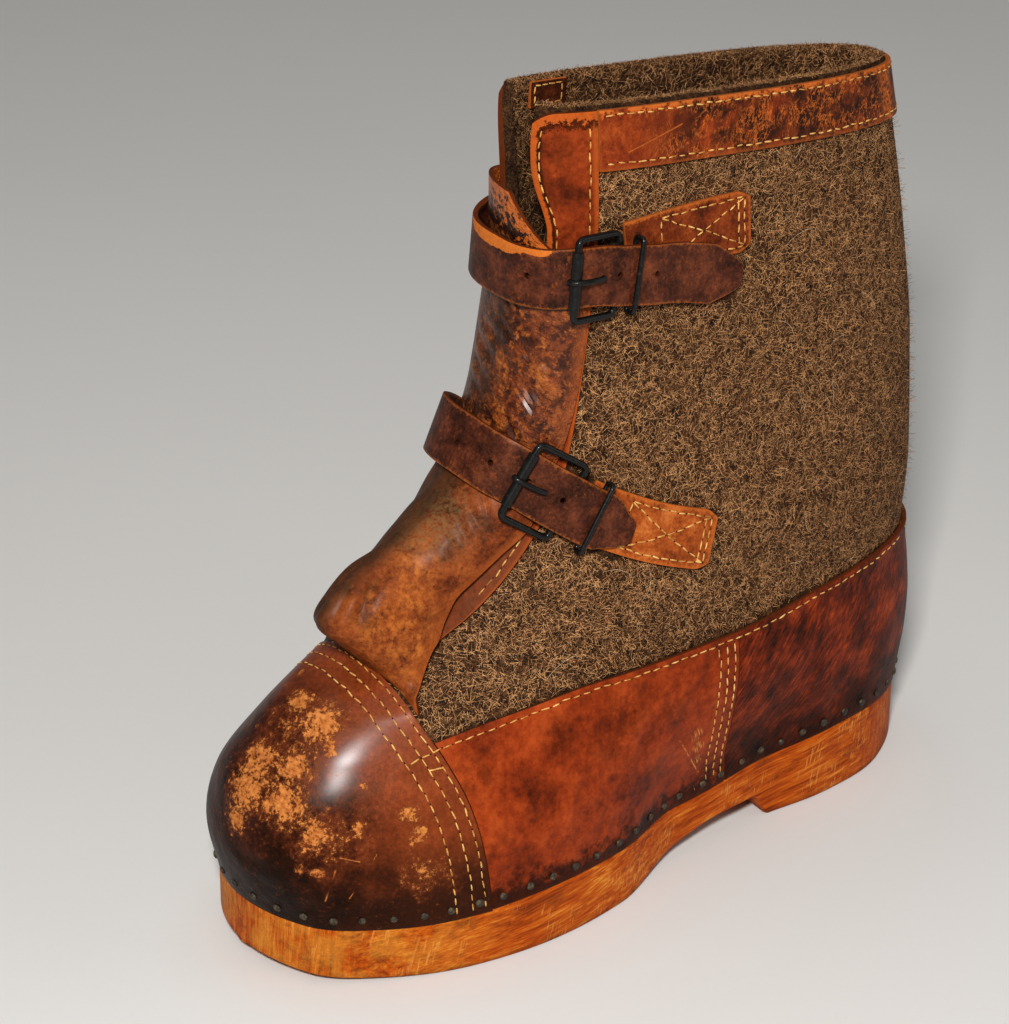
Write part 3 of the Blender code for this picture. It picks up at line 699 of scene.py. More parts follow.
def counterFinish():
    look = Finish("heelHide", **hideShine)
    _, _, z = look.split(look.place)
    lean = look.wander(9, 3, look.streaks((0.05, 0.62, 0.78), 6))
    hairline = look.noise(1.6, 6, 0.7, lean)
    clouds = look.noise(16, 6, 0.65)
    tone = hairline * 0.5 + clouds * 0.5
    colour = look.ramp(tone, (0.40, tint(36, 9, 3)), (0.50, tint(92, 27, 8)), (0.58, tint(134, 46, 14)),
                       (0.68, tint(178, 78, 26)))
    stain = look.spots(counterLook["stains"], 0.7) * look.between(look.noise(4, 6, 0.7), 0.42, 0.56)
    colour = look.shade(colour, 1.0 - stain * 0.55)
    colour = look.shade(colour, 0.2 + look.between(z + clouds * 30, 48, 92) * 0.8)
    return look.done(colour, 0.44 + hairline * 0.2, look.grain(1.3, 0.06, 0.45, 2.5) + hairline * 0.15)


def makeCounter():
    piece = sheetPiece("heel_leather", counterLook, counterPlace, last["leather"])
    dress(piece, counterFinish(), cutEdge, "counter")
    angle = np.linspace(-24, 24, 60)
    height = seamAt["foxing"](lastPoint(angle, 116.0)[..., 1]) - foxingLook["topRow"]
    sewOnLast(angle, height, leatherFace)


makeToeCap()
makeFoxing()
makeCounter()
print("foot leather laid")

tackLook = {"spacing": 12.0, "above": 5.0, "width": 3.9, "height": 1.1}


def tackFinish():
    look = Finish("tackIron", Metallic=0.35)
    rust = look.noise(1.8, 5, 0.7)
    colour = look.ramp(rust, (0.34, tint(22, 17, 11)), (0.50, tint(50, 41, 28)), (0.66, tint(104, 88, 60)))
    return look.done(colour, 0.45 + rust * 0.3, rust * 0.4)


def makeTacks():
    angle = np.linspace(-180, 180, 2000)
    path = lastPoint(angle, np.full(2000, footBase + tackLook["above"]))
    run = np.concatenate([[0], np.cumsum(np.linalg.norm(np.diff(path, axis=0), axis=1))])
    count = round(run[-1] / tackLook["spacing"])
    place = (np.arange(count) + dice.uniform(-0.09, 0.09, count)) * run[-1] / count
    angle = np.interp(place, run, angle)
    height = footBase + tackLook["above"] + dice.uniform(-0.2, 0.6, count)
    y = lastPoint(angle, height)[:, 1]
    lift = np.where(y < seamAt["cap"](height), capLift(y, height) - last["gap"], 0) + leatherFace
    out = unit(lastNormal(angle, height) + dice.normal(0, 0.05, (count, 3)))
    side = unit(np.cross(out, np.array([0.1, 0.2, 1.0])))
    deselect()
    bpy.ops.mesh.primitive_uv_sphere_add(segments=12, ring_count=8, radius=0.5)
    model = takeNew("tack_model")
    points = readPoints(model.data)
    points[:, 2] = np.where(points[:, 2] > 0, points[:, 2] * 2, points[:, 2] * 0.3)
    writePoints(model.data, points)
    width = tackLook["width"] * dice.uniform(0.88, 1.08, (count, 1))
    axes = [onLast(angle, height, lift), side * width, np.cross(out, side) * width, out * tackLook["height"]]
    dress(scatter("iron_tacks", model, [np.stack(axes, 1)]), tackFinish())
    bpy.data.objects.remove(model)


makeTacks()
print("tacks set")

bandLook = {"width": 27, "below": 1.8, "columns": 180, "rows": 14, "topRow": 4.2, "lowRow": 2.8,
            "scratches": (((25.3, -1.5, 329.9), (25.0, 25.4, 335.5), 0.5),)}


def bandPlace(across, up):
    height = last["collar"] - bandLook["below"] - (bandLook["width"] - bandLook["below"]) * (1 - up)
    front = angleAt(seamAt["facing"](height) + last["gap"], height)
    return onLast(front * (2 * across - 1), height, np.full_like(height, last["gap"]))


def bandFinish():
    look = Finish("collarHide", Coat_Weight=0.08, Coat_Roughness=0.35, **hideShine)
    _, y, _ = look.split(look.place)
    across, up = look.shares()
    colour, flecks = look.hide(((78, 24, 7), (126, 44, 13), (158, 68, 22)), 12)
    back = look.between(y + flecks * 40, 18, 58)  # the back two thirds are dark and cracked
    dark = look.ramp(look.noise(7, 6, 0.7), (0.38, tint(28, 9, 4)), (0.50, tint(62, 23, 9)),
                     (0.62, tint(104, 41, 15)))
    colour = look.mix(back * look.between(look.noise(15, 5, 0.6), 0.32, 0.46), colour, dark)
    torn = look.wander(6, 3, look.streaks((0.1, 0.35, 1.0), 2.2))
    crack = look.between(look.noise(5.0, 4, 0.6, torn).awayFrom(0.5), 0.022, 0.006)
    crack = crack.most(look.between(look.noise(2.4, 4, 0.6, torn).awayFrom(0.5), 0.03, 0.008) * 0.8)
    crack = crack * look.between(look.noise(11, 5, 0.65), 0.42, 0.56) * (0.2 + back * 0.7)
    crack = crack.most(look.scratches(bandLook["scratches"]) * 0.6)
    worn = look.between(up + (flecks - 0.5) * 0.5, 0.88, 0.95)
    worn = worn * look.between(look.noise(7, 5, 0.65), 0.41, 0.49) * 0.9
    worn = worn.most(look.between(up + (flecks - 0.5) * 0.3, 0.07, 0.02) * 0.35)
    worn = worn.most(look.between(across.awayFrom(0.6), 0.03, 0.0) * look.between(flecks, 0.42, 0.56))
    colour = look.mix(crack.most(worn), colour, look.shade(tint(196, 98, 34), 0.5 + flecks * 0.9))
    relief = look.grain(1.3, 0.07, 0.6, 2.0) - crack * 0.25
    return look.done(colour, 0.38 + flecks * 0.18 + worn * 0.15, relief)


def makeCollarBand():
    piece = sheetPiece("collar_leather", bandLook, bandPlace, last["leather"])
    dress(piece, bandFinish(), paleEdge, "collar_band")
    for below in (bandLook["topRow"], bandLook["width"] - bandLook["lowRow"]):
        height = last["collar"] - below
        front = float(angleAt(seamAt["facing"](height) + 3, height))
        sewOnLast(np.linspace(-front, front, 260), np.full(260, height), leatherFace)


facingLook = {
    "columns": 20, "rows": 120, "base": 128, "below": 1.8, "corner": 4.5,
    "rowFromEdge": 3.6, "crossRow": 8.0, "rowStart": 150, "frontRowStart": 240,
}


def facingFront(height, side, back=0.0):
    flap = seamAt["flapOuter" if side > 0 else "flapInner"](height)
    return frontAngle(flap + back, height, side)


def facingPlace(side):
    def place(across, up):
        share = across if side > 0 else 1 - across
        turned = np.clip(share / 0.45 - 1.22, 0, 1) ** 2.5  # only the front corner
        top = last["collar"] - facingLook["below"] - facingLook["corner"] * turned
        height = facingLook["base"] + (top - facingLook["base"]) * up
        back = angleAt(seamAt["facing"](height), height)
        angle = back + (facingFront(height, side) - back) * share
        return onLast(side * angle, height, np.full_like(height, last["gap"]))

    return place


def facingFinish():
    look = Finish("facingHide", **hideShine)
    across, up = look.shares()
    colour, flecks = look.hide(((80, 26, 8), (124, 44, 14), (152, 62, 22)), 16)
    smudge = look.between(look.noise(12, 5, 0.6), 0.50, 0.64)
    colour = look.shade(colour, 1.0 - smudge * 0.4)
    ragged = (flecks - 0.5) * 0.5
    inward = (across + ragged * 0.35).most(up * 7.0 - 5.98 + ragged)
    rim = look.between(inward, 0.86, 0.90)
    # a groove pressed in beside the rim: its dip is in the bump, and its darkening is painted shade
    grooveShade = look.between(inward, 0.79, 0.85) - rim
    low = look.between(up, 0.26, 0.18)  # the dull strip beside the fold
    rim = rim.most(look.between(across + ragged * 0.3, 0.10, 0.03) * 0.7)
    colour = look.mix(low * 0.7, colour, look.shade(tint(98, 50, 27), 0.5 + flecks))
    colour = look.mix(rim * (1.0 - low * 0.4), colour, look.shade(tint(172, 78, 26), 0.5 + flecks))
    # painted shade darkens the groove
    colour = look.shade(colour, 1.0 - grooveShade * 0.75)
    return look.done(colour, 0.44 + flecks * 0.15, look.grain(1.3, 0.06, 0.5, 1.5) - grooveShade * 0.4)


def makeFacings():
    finish = facingFinish()
    for side, node in ((1, "facing_outer"), (-1, "facing_inner")):
        piece = sheetPiece(node + "_leather", facingLook, facingPlace(side), last["leather"])
        dress(piece, finish, cutEdge, node)
        height = np.linspace(facingLook["rowStart"], last["collar"] - facingLook["crossRow"], 160)
        back = angleAt(seamAt["facing"](height) - facingLook["rowFromEdge"], height)
        sewOnLast(side * back, height, leatherFace)
        height = np.linspace(facingLook["frontRowStart"], last["collar"] - facingLook["crossRow"], 60)
        sewOnLast(side * (facingFront(height, side, 1.2) - 3), height, leatherFace)


makeCollarBand()
makeFacings()

gussetLook = {
    "columns": 90, "rows": 200, "wall": 1.7, "rest": 3.6, "seamBehind": 2.7, "seamAhead": 1.5, "width": 75,
    "innerBack": 6.0, "innerStart": 125, "innerFade": 40,
    "rowsUp": (  # fold height, fold y, ridge y, ridge height, shoulder
        (115, -107.2, -114.0, 123.5, 0.95), (118.2, -103.7, -119.5, 129.5, 0.80),
        (122.6, -99.0, -127.0, 138.0, 0.66), (127.3, -93.8, -134.0, 147.0, 0.60),
        (132.4, -88.9, -127.5, 155.5, 0.58), (139.6, -84.1, -116.5, 163.0, 0.58),
        (148, -78.1, -101.5, 169.0, 0.58), (157.2, -69.3, -88.0, 177.0, 0.58),
        (166.8, -60.0, -76.0, 187.0, 0.57), (178, -49, -65.5, 198.0, 0.55), (192, -42, -57.0, 211.0, 0.50),
        (210, -32.6, -49.5, 228.0, 0.42), (235, -26.0, -44.5, 249.0, 0.36),
        (262, -22.5, -41.5, 271.0, 0.34), (285, -23, -41.0, 293.0, 0.32), (302, -23, -41.5, 315.0, 0.30)),
    "lifted": (118, 180, 3.4),  # heights between which the loose edge stands up, and how far
    "topDrop": (1.05, 0.42),  # rows by which the upper edge falls to the buckle side, and from which share
    "creases": (  # share across and fold height at each end, width, depth
        (0.02, 229, 0.40, 231, 1.5, 0.75), (0.00, 233, 0.34, 235, 1.4, 0.80),
        (0.03, 225, 0.36, 226, 1.5, 0.55), (0.00, 238, 0.30, 240, 1.5, 0.60),
        (0.02, 243, 0.16, 246, 1.3, 0.55), (0.01, 249, 0.13, 252, 1.3, 0.55),
        (0.03, 255, 0.20, 257, 1.6, 0.45), (0.18, 243, 0.52, 247, 1.8, 0.70),
        (0.12, 249, 0.48, 253, 1.8, 0.65), (0.22, 257, 0.58, 259, 1.8, 0.60),
        (0.10, 262, 0.50, 264, 2.0, 0.45), (0.05, 219, 0.42, 217, 2.0, 0.50),
        (0.08, 212, 0.50, 209, 2.2, 0.50), (0.10, 205, 0.40, 201, 2.2, 0.45),
        (0.45, 236, 0.72, 240, 2.4, 0.70), (0.50, 225, 0.78, 232, 2.6, 0.80),
        (0.55, 214, 0.80, 222, 2.6, 0.80), (0.48, 204, 0.72, 212, 2.4, 0.60),
        (0.06, 176, 0.30, 181, 1.6, 0.45), (0.05, 172, 0.28, 175, 1.6, 0.50),
        (0.04, 168, 0.26, 169, 1.7, 0.45), (0.04, 163, 0.20, 163, 1.8, 0.40),
        (0.38, 147, 0.20, 127, 4.0, 1.10), (0.46, 140, 0.33, 124, 3.0, 0.90),
        (0.54, 146, 0.60, 124, 4.0, 1.00), (0.30, 186, 0.60, 190, 2.6, 0.60),
        (0.34, 178, 0.66, 180, 2.8, 0.60), (0.10, 138, 0.16, 120, 3.0, 0.60),
        (0.62, 170, 0.85, 160, 3.5, 0.9), (0.60, 150, 0.82, 140, 3.5, 0.9)),
    "dark": ((10.5, -121.0, 151.0, 5), (2.7, -121.8, 159.6, 4), (14.4, -83.9, 171.4, 4)),
    "haze": ((8.3, -81.1, 181.7, 13), (4.3, -88.2, 177.5, 11)),
    "orange": ((14.3, -111.2, 146.1, 14), (19.6, -104.1, 133.5, 12), (13.0, -101.9, 153.2, 11),
               (10.3, -95.5, 165.8, 10)),
    "orangeHigh": ((0.39, 0.79, 0.07, 0.02), (0.30, 0.745, 0.06, 0.018), (0.08, 0.845, 0.05, 0.02)),
    "darkHigh": ((0.45, 0.84, 0.09, 0.03),),
}
gussetCurves = [
    spline([(k + 1, *row) for k, row in enumerate(gussetLook["rowsUp"])], column) for column in range(1, 6)]


def gussetEdges(height, fold):
    back = gussetLook["innerBack"] * ease((height - gussetLook["innerStart"]) / gussetLook["innerFade"])
    return angleAt(fold, height), 360 - angleAt(fold + back, height)


def gussetSeam(share):
    fold = gussetLook["rowsUp"][0][1] - gussetLook["seamAhead"]
    low, high = np.full_like(share, 96.0), np.full_like(share, 130.0)
    for _ in range(40):
        middle = (low + high) / 2
        outer, inner = gussetEdges(middle, fold)
        point = lastPoint(outer + (inner - outer) * share, middle)
        past = point[..., 1] > seamAt["cap"](point[..., 2]) + gussetLook["seamBehind"]
        low, high = np.where(past, low, middle), np.where(past, middle, high)
    outer, inner = gussetEdges(high, fold)
    return onLast(outer + (inner - outer) * share, high, np.full_like(share, 3 * last["gap"]))


def gussetForm(share, up):
    drop, dropShare = gussetLook["topDrop"]
    row = up * (len(gussetLook["rowsUp"]) - drop * np.clip(1 - share / dropShare, 0, 1))
    height, fold, ridgeY, ridgeHeight, shoulder = [at(np.maximum(row, 1)) for at in gussetCurves]
    ends = gussetEdges(height, fold)
    rest = np.full_like(height, gussetLook["rest"])
    start, end, lifted = gussetLook["lifted"]
    lifted = lifted * np.sin(np.pi * np.clip((height - start) / (end - start), 0, 1)) ** 0.7
    outer, inner = onLast(ends[0], height, rest + lifted), onLast(ends[1], height, rest)
    middle = (outer + inner) / 2
    ridge = np.stack([middle[..., 0], ridgeY, ridgeHeight], -1)
    arch = np.maximum(0, np.sin(np.pi * share)) ** shoulder
    form = outer + (inner - outer) * share[..., None] + (ridge - middle) * arch[..., None]
    low = np.clip(1 - row, 0, 1)[..., None]
    return form * (1 - low) + gussetSeam(share) * low


def gussetPlace(across, up):
    step = 0.004
    form = gussetForm(across, up)
    over = gussetForm(np.clip(across + step, 0, 1), up) - gussetForm(np.clip(across - step, 0, 1), up)
    rise = gussetForm(across, np.clip(up + step, 0, 1)) - gussetForm(across, np.clip(up - step, 0, 1))
    out = unit(np.cross(rise, over))
    sink = np.zeros_like(across)
    height = gussetCurves[0](np.maximum(up * len(gussetLook["rowsUp"]), 1))
    wide = gussetLook["width"]
    for startAcross, startHeight, endAcross, endHeight, width, depth in gussetLook["creases"]:
        start = np.array([startAcross * wide, startHeight])
        run = np.array([endAcross * wide, endHeight]) - start
        here = np.stack([across * wide, height + 0.6 * np.sin(across * 23 + startHeight)], -1) - start
        share = np.clip((here @ run) / (run @ run), 0, 1)
        gap = np.linalg.norm(here - share[:, None] * run, axis=-1)
        fade = np.sin(np.pi * np.clip(0.12 + 0.8 * share, 0, 1))
        ridge = np.exp(-((gap - 1.9 * width) / width) ** 2)
        sink += depth * fade * (np.exp(-(gap / width) ** 2) - 0.5 * ridge)
    keep = ease(up / 0.03) * ease((1 - across) / 0.05) * ease((across + 0.02) / 0.04)
    return form - out * (sink * keep)[:, None]


def gussetFinish():
    look = Finish("gussetHide", Coat_Roughness=0.28, **hideShine)
    across, up = look.shares()
    colour, flecks = look.hide(((54, 21, 8), (108, 47, 19), (148, 74, 31)), 12)
    top = look.between(up + flecks * 0.06, 0.695, 0.73)  # the tighter length between the straps
    mottle = look.between(look.noise(7, 7, 0.72), 0.45, 0.57)
    colour = look.mix(top * mottle * 0.85, colour, look.shade(tint(50, 15, 7), 0.4 + flecks))
    zone = look.spots(gussetLook["orange"], 0.8).most(look.patches(gussetLook["orangeHigh"]))
    tan = look.ramp(look.noise(4, 6, 0.65), (0.36, tint(124, 53, 17)), (0.62, tint(190, 106, 42)))
    colour = look.mix(zone * look.between(look.noise(5, 8, 0.75), 0.38, 0.56) * 0.85, colour, tan)
    worn = top * look.between(look.noise(3, 8, 0.75), 0.51, 0.60)
    colour = look.mix(worn * 0.65, colour, tan)
    spot = look.spots(gussetLook["dark"], 0.8).most(look.patches(gussetLook["darkHigh"]))
    spot = spot * look.between(look.noise(3.5, 6, 0.7), 0.36, 0.50)
    freckle = look.between(look.noise(1.7, 5, 0.72), 0.57, 0.67)
    colour = look.shade(colour, 1.0 - spot.most(freckle * 0.75) * 0.7)
    haze = look.spots(gussetLook["haze"], 0.9) * look.between(look.noise(2.0, 6, 0.7), 0.36, 0.62)
    colour = look.mix(haze * 0.6, colour, tint(122, 92, 56))
    # painted shade: the half past the ridge, turned away from the light, is mixed towards dark grey
    away = look.between(across + (flecks - 0.5) * 0.2, 0.33, 0.50) * (1.0 - top * 0.5)
    colour = look.mix(away * 0.75, colour, look.shade(tint(58, 40, 25), 0.4 + flecks))
    speck = look.between(look.noise(2.6, 6, 0.65) * 0.7 + up * 3.2, 3.44, 3.50)
    bare = look.shade(tint(34, 12, 6), 0.4 + flecks)
    high = look.mix(speck, bare, look.shade(tint(184, 92, 30), 0.5 + flecks))
    colour = look.mix(look.between(up, 0.945, 0.952), colour, high)
    colour = look.mix(look.between(across, 0.014, 0.0) * 0.6, colour, tint(164, 80, 30))
    folds = look.noise(2.6, 4, 0.6, look.streaks((0.75, 0.55, -0.25), 3)) * top
    look.feed(look.shader.inputs["Coat Weight"], 0.04 + top * 0.3)
    return look.done(colour, 0.44 + flecks * 0.16 - top * 0.14, look.grain(1.5, 0.1, 0.9, 2.0) + folds * 3.2)


def makeGusset():
    piece = sheetPiece("gusset_leather", gussetLook, gussetPlace, gussetLook["wall"], 1.0, 0.6)
    dress(piece, gussetFinish(), cutEdge, "gusset")


makeGusset()
print("shaft leather laid")

strapLook = {
    "width": 25, "wall": 2.2, "tip": 16, "tipShare": 0.3, "tipBow": 0.75, "columns": 170, "rows": 10,
    "upper": (  # angle, height, lift above the felt
        (98, 265.5, 3.0), (105, 268.0, 3.0), (118, 272.5, 3.8), (127, 274.0, 5.4), (133, 275.2, 6.2),
        (139, 276.2, 7.6), (147, 277.5, 8.8), (155, 277.5, 10.2), (165, 276.5, 11.0), (180, 275.5, 11.2),
        (196, 275.5, 11.2), (208, 276.0, 10.8), (217, 277.0, 8.8), (225, 278.0, 4.2), (233, 279.0, 1.6),
        (241, 280.0, 0.5), (261, 282.0, 0.5)),
    "lower": (
        (121.5, 170.5, 3.0), (126, 173.5, 3.2), (131, 177.5, 4.8), (137, 181.8, 6.2), (143.5, 186.5, 8.0),
        (152, 191.5, 9.4), (160, 195.5, 12.0), (169, 198.5, 16.0), (180, 200.5, 18.0), (192, 200.0, 17.2),
        (203, 196.5, 14.0), (211, 192.0, 10.5), (217, 187.5, 6.4), (223, 183.0, 2.6), (229, 179.0, 0.5),
        (248, 166.0, 0.5)),
    "holes": {  # mm from the tip along the strap, mm above its middle
        "upper": ((46.6, 0.5), (65.4, 0.5), (84.0, 0.5), (103.1, 0.8)),
        "lower": ((37.3, 0.8), (53.5, 0.5), (69.9, 0.0), (87.6, -0.5))},
    "holeWidth": 2.6, "rubs": ((0.57, 0.97, 0.04, 0.16), (0.51, 0.99, 0.025, 0.1)),
}
anchorLook = {
    "width": 26, "tip": 6, "tipShare": 0.75, "columns": 60, "rows": 18,
    "upper": ((93, 287.0, 0.35), (105, 286.5, 0.35), (118, 285.0, 0.35), (134, 282.5, 0.35)),
    "lower": ((98.5, 156.5, 0.35), (112, 165.5, 0.35), (126, 175.5, 0.35), (138, 183.5, 0.35)),
    "browns": {"upper": ((62, 22, 8), (108, 42, 15), (144, 65, 25)),
               "lower": ((104, 44, 15), (152, 69, 24), (188, 104, 46))},
}


def bandPath(table):
    steps = [(k / (len(table) - 1), *row) for k, row in enumerate(table)]
    curves = [spline(steps, column) for column in (1, 2, 3)]

    def at(share):
        share = np.asarray(share, float)

        def spot(s):
            angle, height, lift = [curve(np.clip(s, 0, 1)) for curve in curves]
            return onLast(angle, height, lift)

        along = unit(spot(share + 0.01) - spot(share - 0.01))
        angle, height = curves[0](share), curves[1](share)
        width = unit(np.cross(lastNormal(angle, height), along))
        return spot(share), along, width, unit(np.cross(along, width))

    return at


def runLength(path):
    shares = np.linspace(0, 1, 500)
    spots = path(shares)[0]
    return shares, np.concatenate([[0], np.cumsum(np.linalg.norm(np.diff(spots, axis=0), axis=1))])


def strapPlace(path, width, tip, tipShare):
    shares, run = runLength(path)

    def place(across, up):
        spot, _, side, _ = path(across)
        grown = np.clip(np.interp(across, shares, run) / tip, 0, 1)
        wide = width / 2 * (tipShare + (1 - tipShare) * grown ** strapLook["tipBow"])
        return spot + side * (wide * (1 - 2 * up))[..., None]

    return place


def boxStitch(path, first, final, width, lift):
    inset = width / 2 - 3.0
    corners = [(first, -inset), (final, -inset), (final, inset), (first, inset)]
    runs = [(corners[k], corners[(k + 1) % 4]) for k in range(4)]
    runs += [(corners[0], corners[2]), (corners[1], corners[3])]
    second = first + math.copysign(3.0, final - first)
    runs.append(((second, -inset), (second, inset)))
    shares, run = runLength(path)
    for start, end in runs:
        place = np.linspace(start[0], end[0], 40)
        aside = np.linspace(start[1], end[1], 40)
        spot, _, side, out = path(np.interp(place, run, shares))
        sewRow(spot + side * aside[:, None] + out * lift, out, 4.6)


def drill(piece, spot, out, width):
    deselect()
    bpy.ops.mesh.primitive_cylinder_add(vertices=14, radius=width / 2 * mm, depth=12 * mm)
    bit = takeNew("bit")
    side = unit(np.cross(out, [0.3, 0.5, 0.8]))
    axes = np.stack([side, np.cross(out, side), out])
    writePoints(bit.data, toFrame(spot) + readPoints(bit.data) @ axes)
    modify(piece, "BOOLEAN", object=bit, operation="DIFFERENCE", solver="EXACT")
    bpy.data.objects.remove(bit)


def strapFinish():
    look = Finish("strapHide", Coat_Weight=0.1, Coat_Roughness=0.3, **hideShine)
    _, up = look.shares()
    _, _, z = look.split(look.place)
    colour, flecks = look.hide(((28, 11, 6), (66, 29, 17), (104, 52, 30)), 10)
    rust = look.between(look.noise(3.2, 7, 0.75), 0.56, 0.66)
    colour = look.mix(rust * 0.5, colour, tint(142, 68, 30))
    edge = look.between(up.awayFrom(0.5) + (flecks - 0.5) * 0.16, 0.45, 0.49)
    zone = look.patches(strapLook["rubs"]) * look.between(z, 250, 255)
    rub = look.rubbed(zone, 0.42, 6)[0].most(edge * 0.3)
    colour = look.mix(rub, colour, look.shade(tint(196, 104, 36), 0.5 + flecks * 0.9))
    return look.done(colour, 0.38 + flecks * 0.2 + rub * 0.2, look.grain(1.2, 0.07, 0.5, 1.5))


def anchorFinish(name):
    look = Finish(name + "AnchorHide", **hideShine)
    across, up = look.shares()
    colour, flecks = look.hide(anchorLook["browns"][name], 10)
    smudge = look.between(look.noise(7, 6, 0.68), 0.54, 0.66)
    colour = look.shade(colour, 1.0 - smudge * 0.4)
    edge = up.awayFrom(0.5).most(0.5 - across * 2.2)
    edge = look.between(edge + (flecks - 0.5) * 0.2, 0.42, 0.48)
    colour = look.mix(edge * 0.55, colour, tint(192, 98, 36))
    return look.done(colour, 0.44 + flecks * 0.15, look.grain(1.2, 0.07, 0.5, 1.5))


def makeStraps():
    finish = strapFinish()
    for name in ("upper", "lower"):
        path = bandPath(strapLook[name])
        shares, run = runLength(path)
        place = strapPlace(path, strapLook["width"], strapLook["tip"], strapLook["tipShare"])
        piece = sheetPiece("strap_" + name + "_leather", strapLook, place, strapLook["wall"], 1.0, 0.5)
        for away, above in strapLook["holes"][name]:
            spot, _, side, out = path(np.interp(away, run, shares))
            drill(piece, spot - side * above, out, strapLook["holeWidth"])
        dress(piece, finish, cutEdge, "strap_" + name)
        boxStitch(path, run[-1] - 3, run[-1] - 46, strapLook["width"], strapLook["wall"])


def makeAnchors():
    for name in ("upper", "lower"):
        path = bandPath(anchorLook[name])
        place = strapPlace(path, anchorLook["width"], anchorLook["tip"], anchorLook["tipShare"])
        piece = sheetPiece("anchor_" + name + "_leather", anchorLook, place, last["leather"], 1.0, 0.5)
        dress(piece, anchorFinish(name), paleEdge, "anchor_" + name)
        boxStitch(path, 3.5, 46, anchorLook["width"], last["leather"])


makeStraps()
makeAnchors()

buckleLook = {
    "wire": 3.0, "roller": 4.6, "frameWidth": 34, "rollerWidth": 24, "prong": 2.4, "corner": 3.0,
    "keeperWire": 2.2, "keeperWidth": 31,
    "upper": (139, 156, 133.5), "lower": (143.5, 161, 134.5),  # angles of bar, roller and keeper
}


def arcCorner(before, corner, after, radius, count=7):
    start = corner + unit(before - corner) * radius
    end = corner + unit(after - corner) * radius
    return [(1 - t) ** 2 * start + 2 * t * (1 - t) * corner + t * t * end for t in np.linspace(0, 1, count)]


def roundedLoop(low, high, width, side, radius):
    aside = side * width / 2
    corners = [low - aside, low + aside, high + aside, high - aside]
    points = []
    for k in range(4):
        points += arcCorner(corners[k - 1], corners[k], corners[(k + 1) % 4], radius)
    return points


def shareAt(table, angle):
    steps = [(k / (len(table) - 1), row[0]) for k, row in enumerate(table)]
    shares = np.linspace(0, 1, 2000)
    return float(np.interp(angle, spline(steps)(shares), shares))


def steelFinish():
    look = Finish("blackSteel", Coat_Weight=0.2, Coat_Roughness=0.12, Specular_IOR_Level=0.15)
    wear = look.noise(2.2, 6, 0.7)
    colour = look.ramp(wear, (0.42, tint(7, 7, 6)), (0.60, tint(16, 15, 13)), (0.72, tint(58, 48, 36)))
    return look.done(colour, 0.28 + wear * 0.3, wear * 0.18)


def makeBuckles():
    finish = steelFinish()
    wire, gap = buckleLook["wire"], last["gap"]
    for name in ("upper", "lower"):
        table = strapLook[name]
        path = bandPath(table)
        barAngle, rollerAngle, keeperAngle = buckleLook[name]
        under, _, barSide, barOut = path(shareAt(table, barAngle))
        over, along, rollerSide, out = path(shareAt(table, rollerAngle))
        bar = under - barOut * (2 * gap + wire / 2)
        roller = over + out * (strapLook["wall"] + 2 * gap + buckleLook["roller"] / 2)
        side = unit(barSide + rollerSide)
        loop = roundedLoop(bar, roller, buckleLook["frameWidth"], side, buckleLook["corner"])
        hoop = wirePiece("buckle_" + name + "_frame", loop, wire, True)
        dress(hoop, finish, None, "buckle_" + name)
        reach = side * buckleLook["rollerWidth"] / 2
        ends = [roller - reach, roller + reach]
        tube = wirePiece("buckle_" + name + "_roller", ends, buckleLook["roller"], False, 7)
        modify(tube, "BEVEL", width=0.5 * mm, segments=2, limit_method="ANGLE", angle_limit=math.radians(60))
        dress(tube, finish)
        crest = roller + out * buckleLook["roller"] / 2
        turns = [roller + along * 2.6 - out * 0.5, crest + along * 1.4, crest - along * 1.5,
                 crest - along * 5 - out * 0.8, roller - along * 9.5, roller - along * 12 - out * 2.2]
        prong = wirePiece("buckle_" + name + "_prong", turns, buckleLook["prong"], False)
        dress(prong, finish)
        spot, _, side, out = path(shareAt(table, keeperAngle))
        thin = buckleLook["keeperWire"]
        low = spot - out * (gap + thin / 2)
        high = spot + out * (strapLook["wall"] + gap + thin / 2)
        loop = roundedLoop(low, high, buckleLook["keeperWidth"], side, 2.0)
        dress(wirePiece("keeper_" + name + "_loop", loop, thin, True), finish, None,
              "keeper_" + name)


makeBuckles()
print("straps fastened")

wool = {
    "columns": 200, "rows": 84, "edge": 1.3, "fibres": 60000, "length": (1.5, 4.6), "width": (0.20, 0.36),
    "browns": {"dark": (13, 8, 4), "tawny": (104, 67, 38), "pale": (186, 136, 88)},
    "lining": 95, "strays": 34, "parting": 119, "partingFade": 8, "lowest": 96, "underBand": 25, "clear": 12,
}


def woolPlace(across, up):
    height = footBase + (last["collar"] - footBase) * up
    parted = ease((height - wool["parting"]) / wool["partingFade"])
    outer = frontAngle(seamAt["throatOuter"](height) * parted, height, 1)
    inner = frontAngle(seamAt["throatInner"](height) * parted, height, -1)
    return lastPoint(-inner + (outer + inner) * across, height)


def woolFinish(name):
    look = Finish(name, Specular_IOR_Level=0.08)
    strands = None
    for direction in ((0.2, 0.6, 0.75), (0.1, 0.95, -0.3), (0.3, -0.4, 0.85)):
        strand = look.noise(0.7, 3, 0.6, look.wander(6, 3, look.streaks(direction, 7)))
        strands = strand if strands is None else strands.most(strand)
    clumps = look.noise(6, 5, 0.65)
    tone = strands * 0.7 + clumps * 0.4 - 0.1
    colour = look.ramp(tone, (0.36, tint(12, 7, 4)), (0.48, tint(44, 27, 15)), (0.60, tint(88, 57, 33)),
                       (0.72, tint(144, 102, 64)))
    return look.done(colour, 0.95, strands * 0.6 + clumps * 1.5 + look.noise(34, 2) * 5.0)


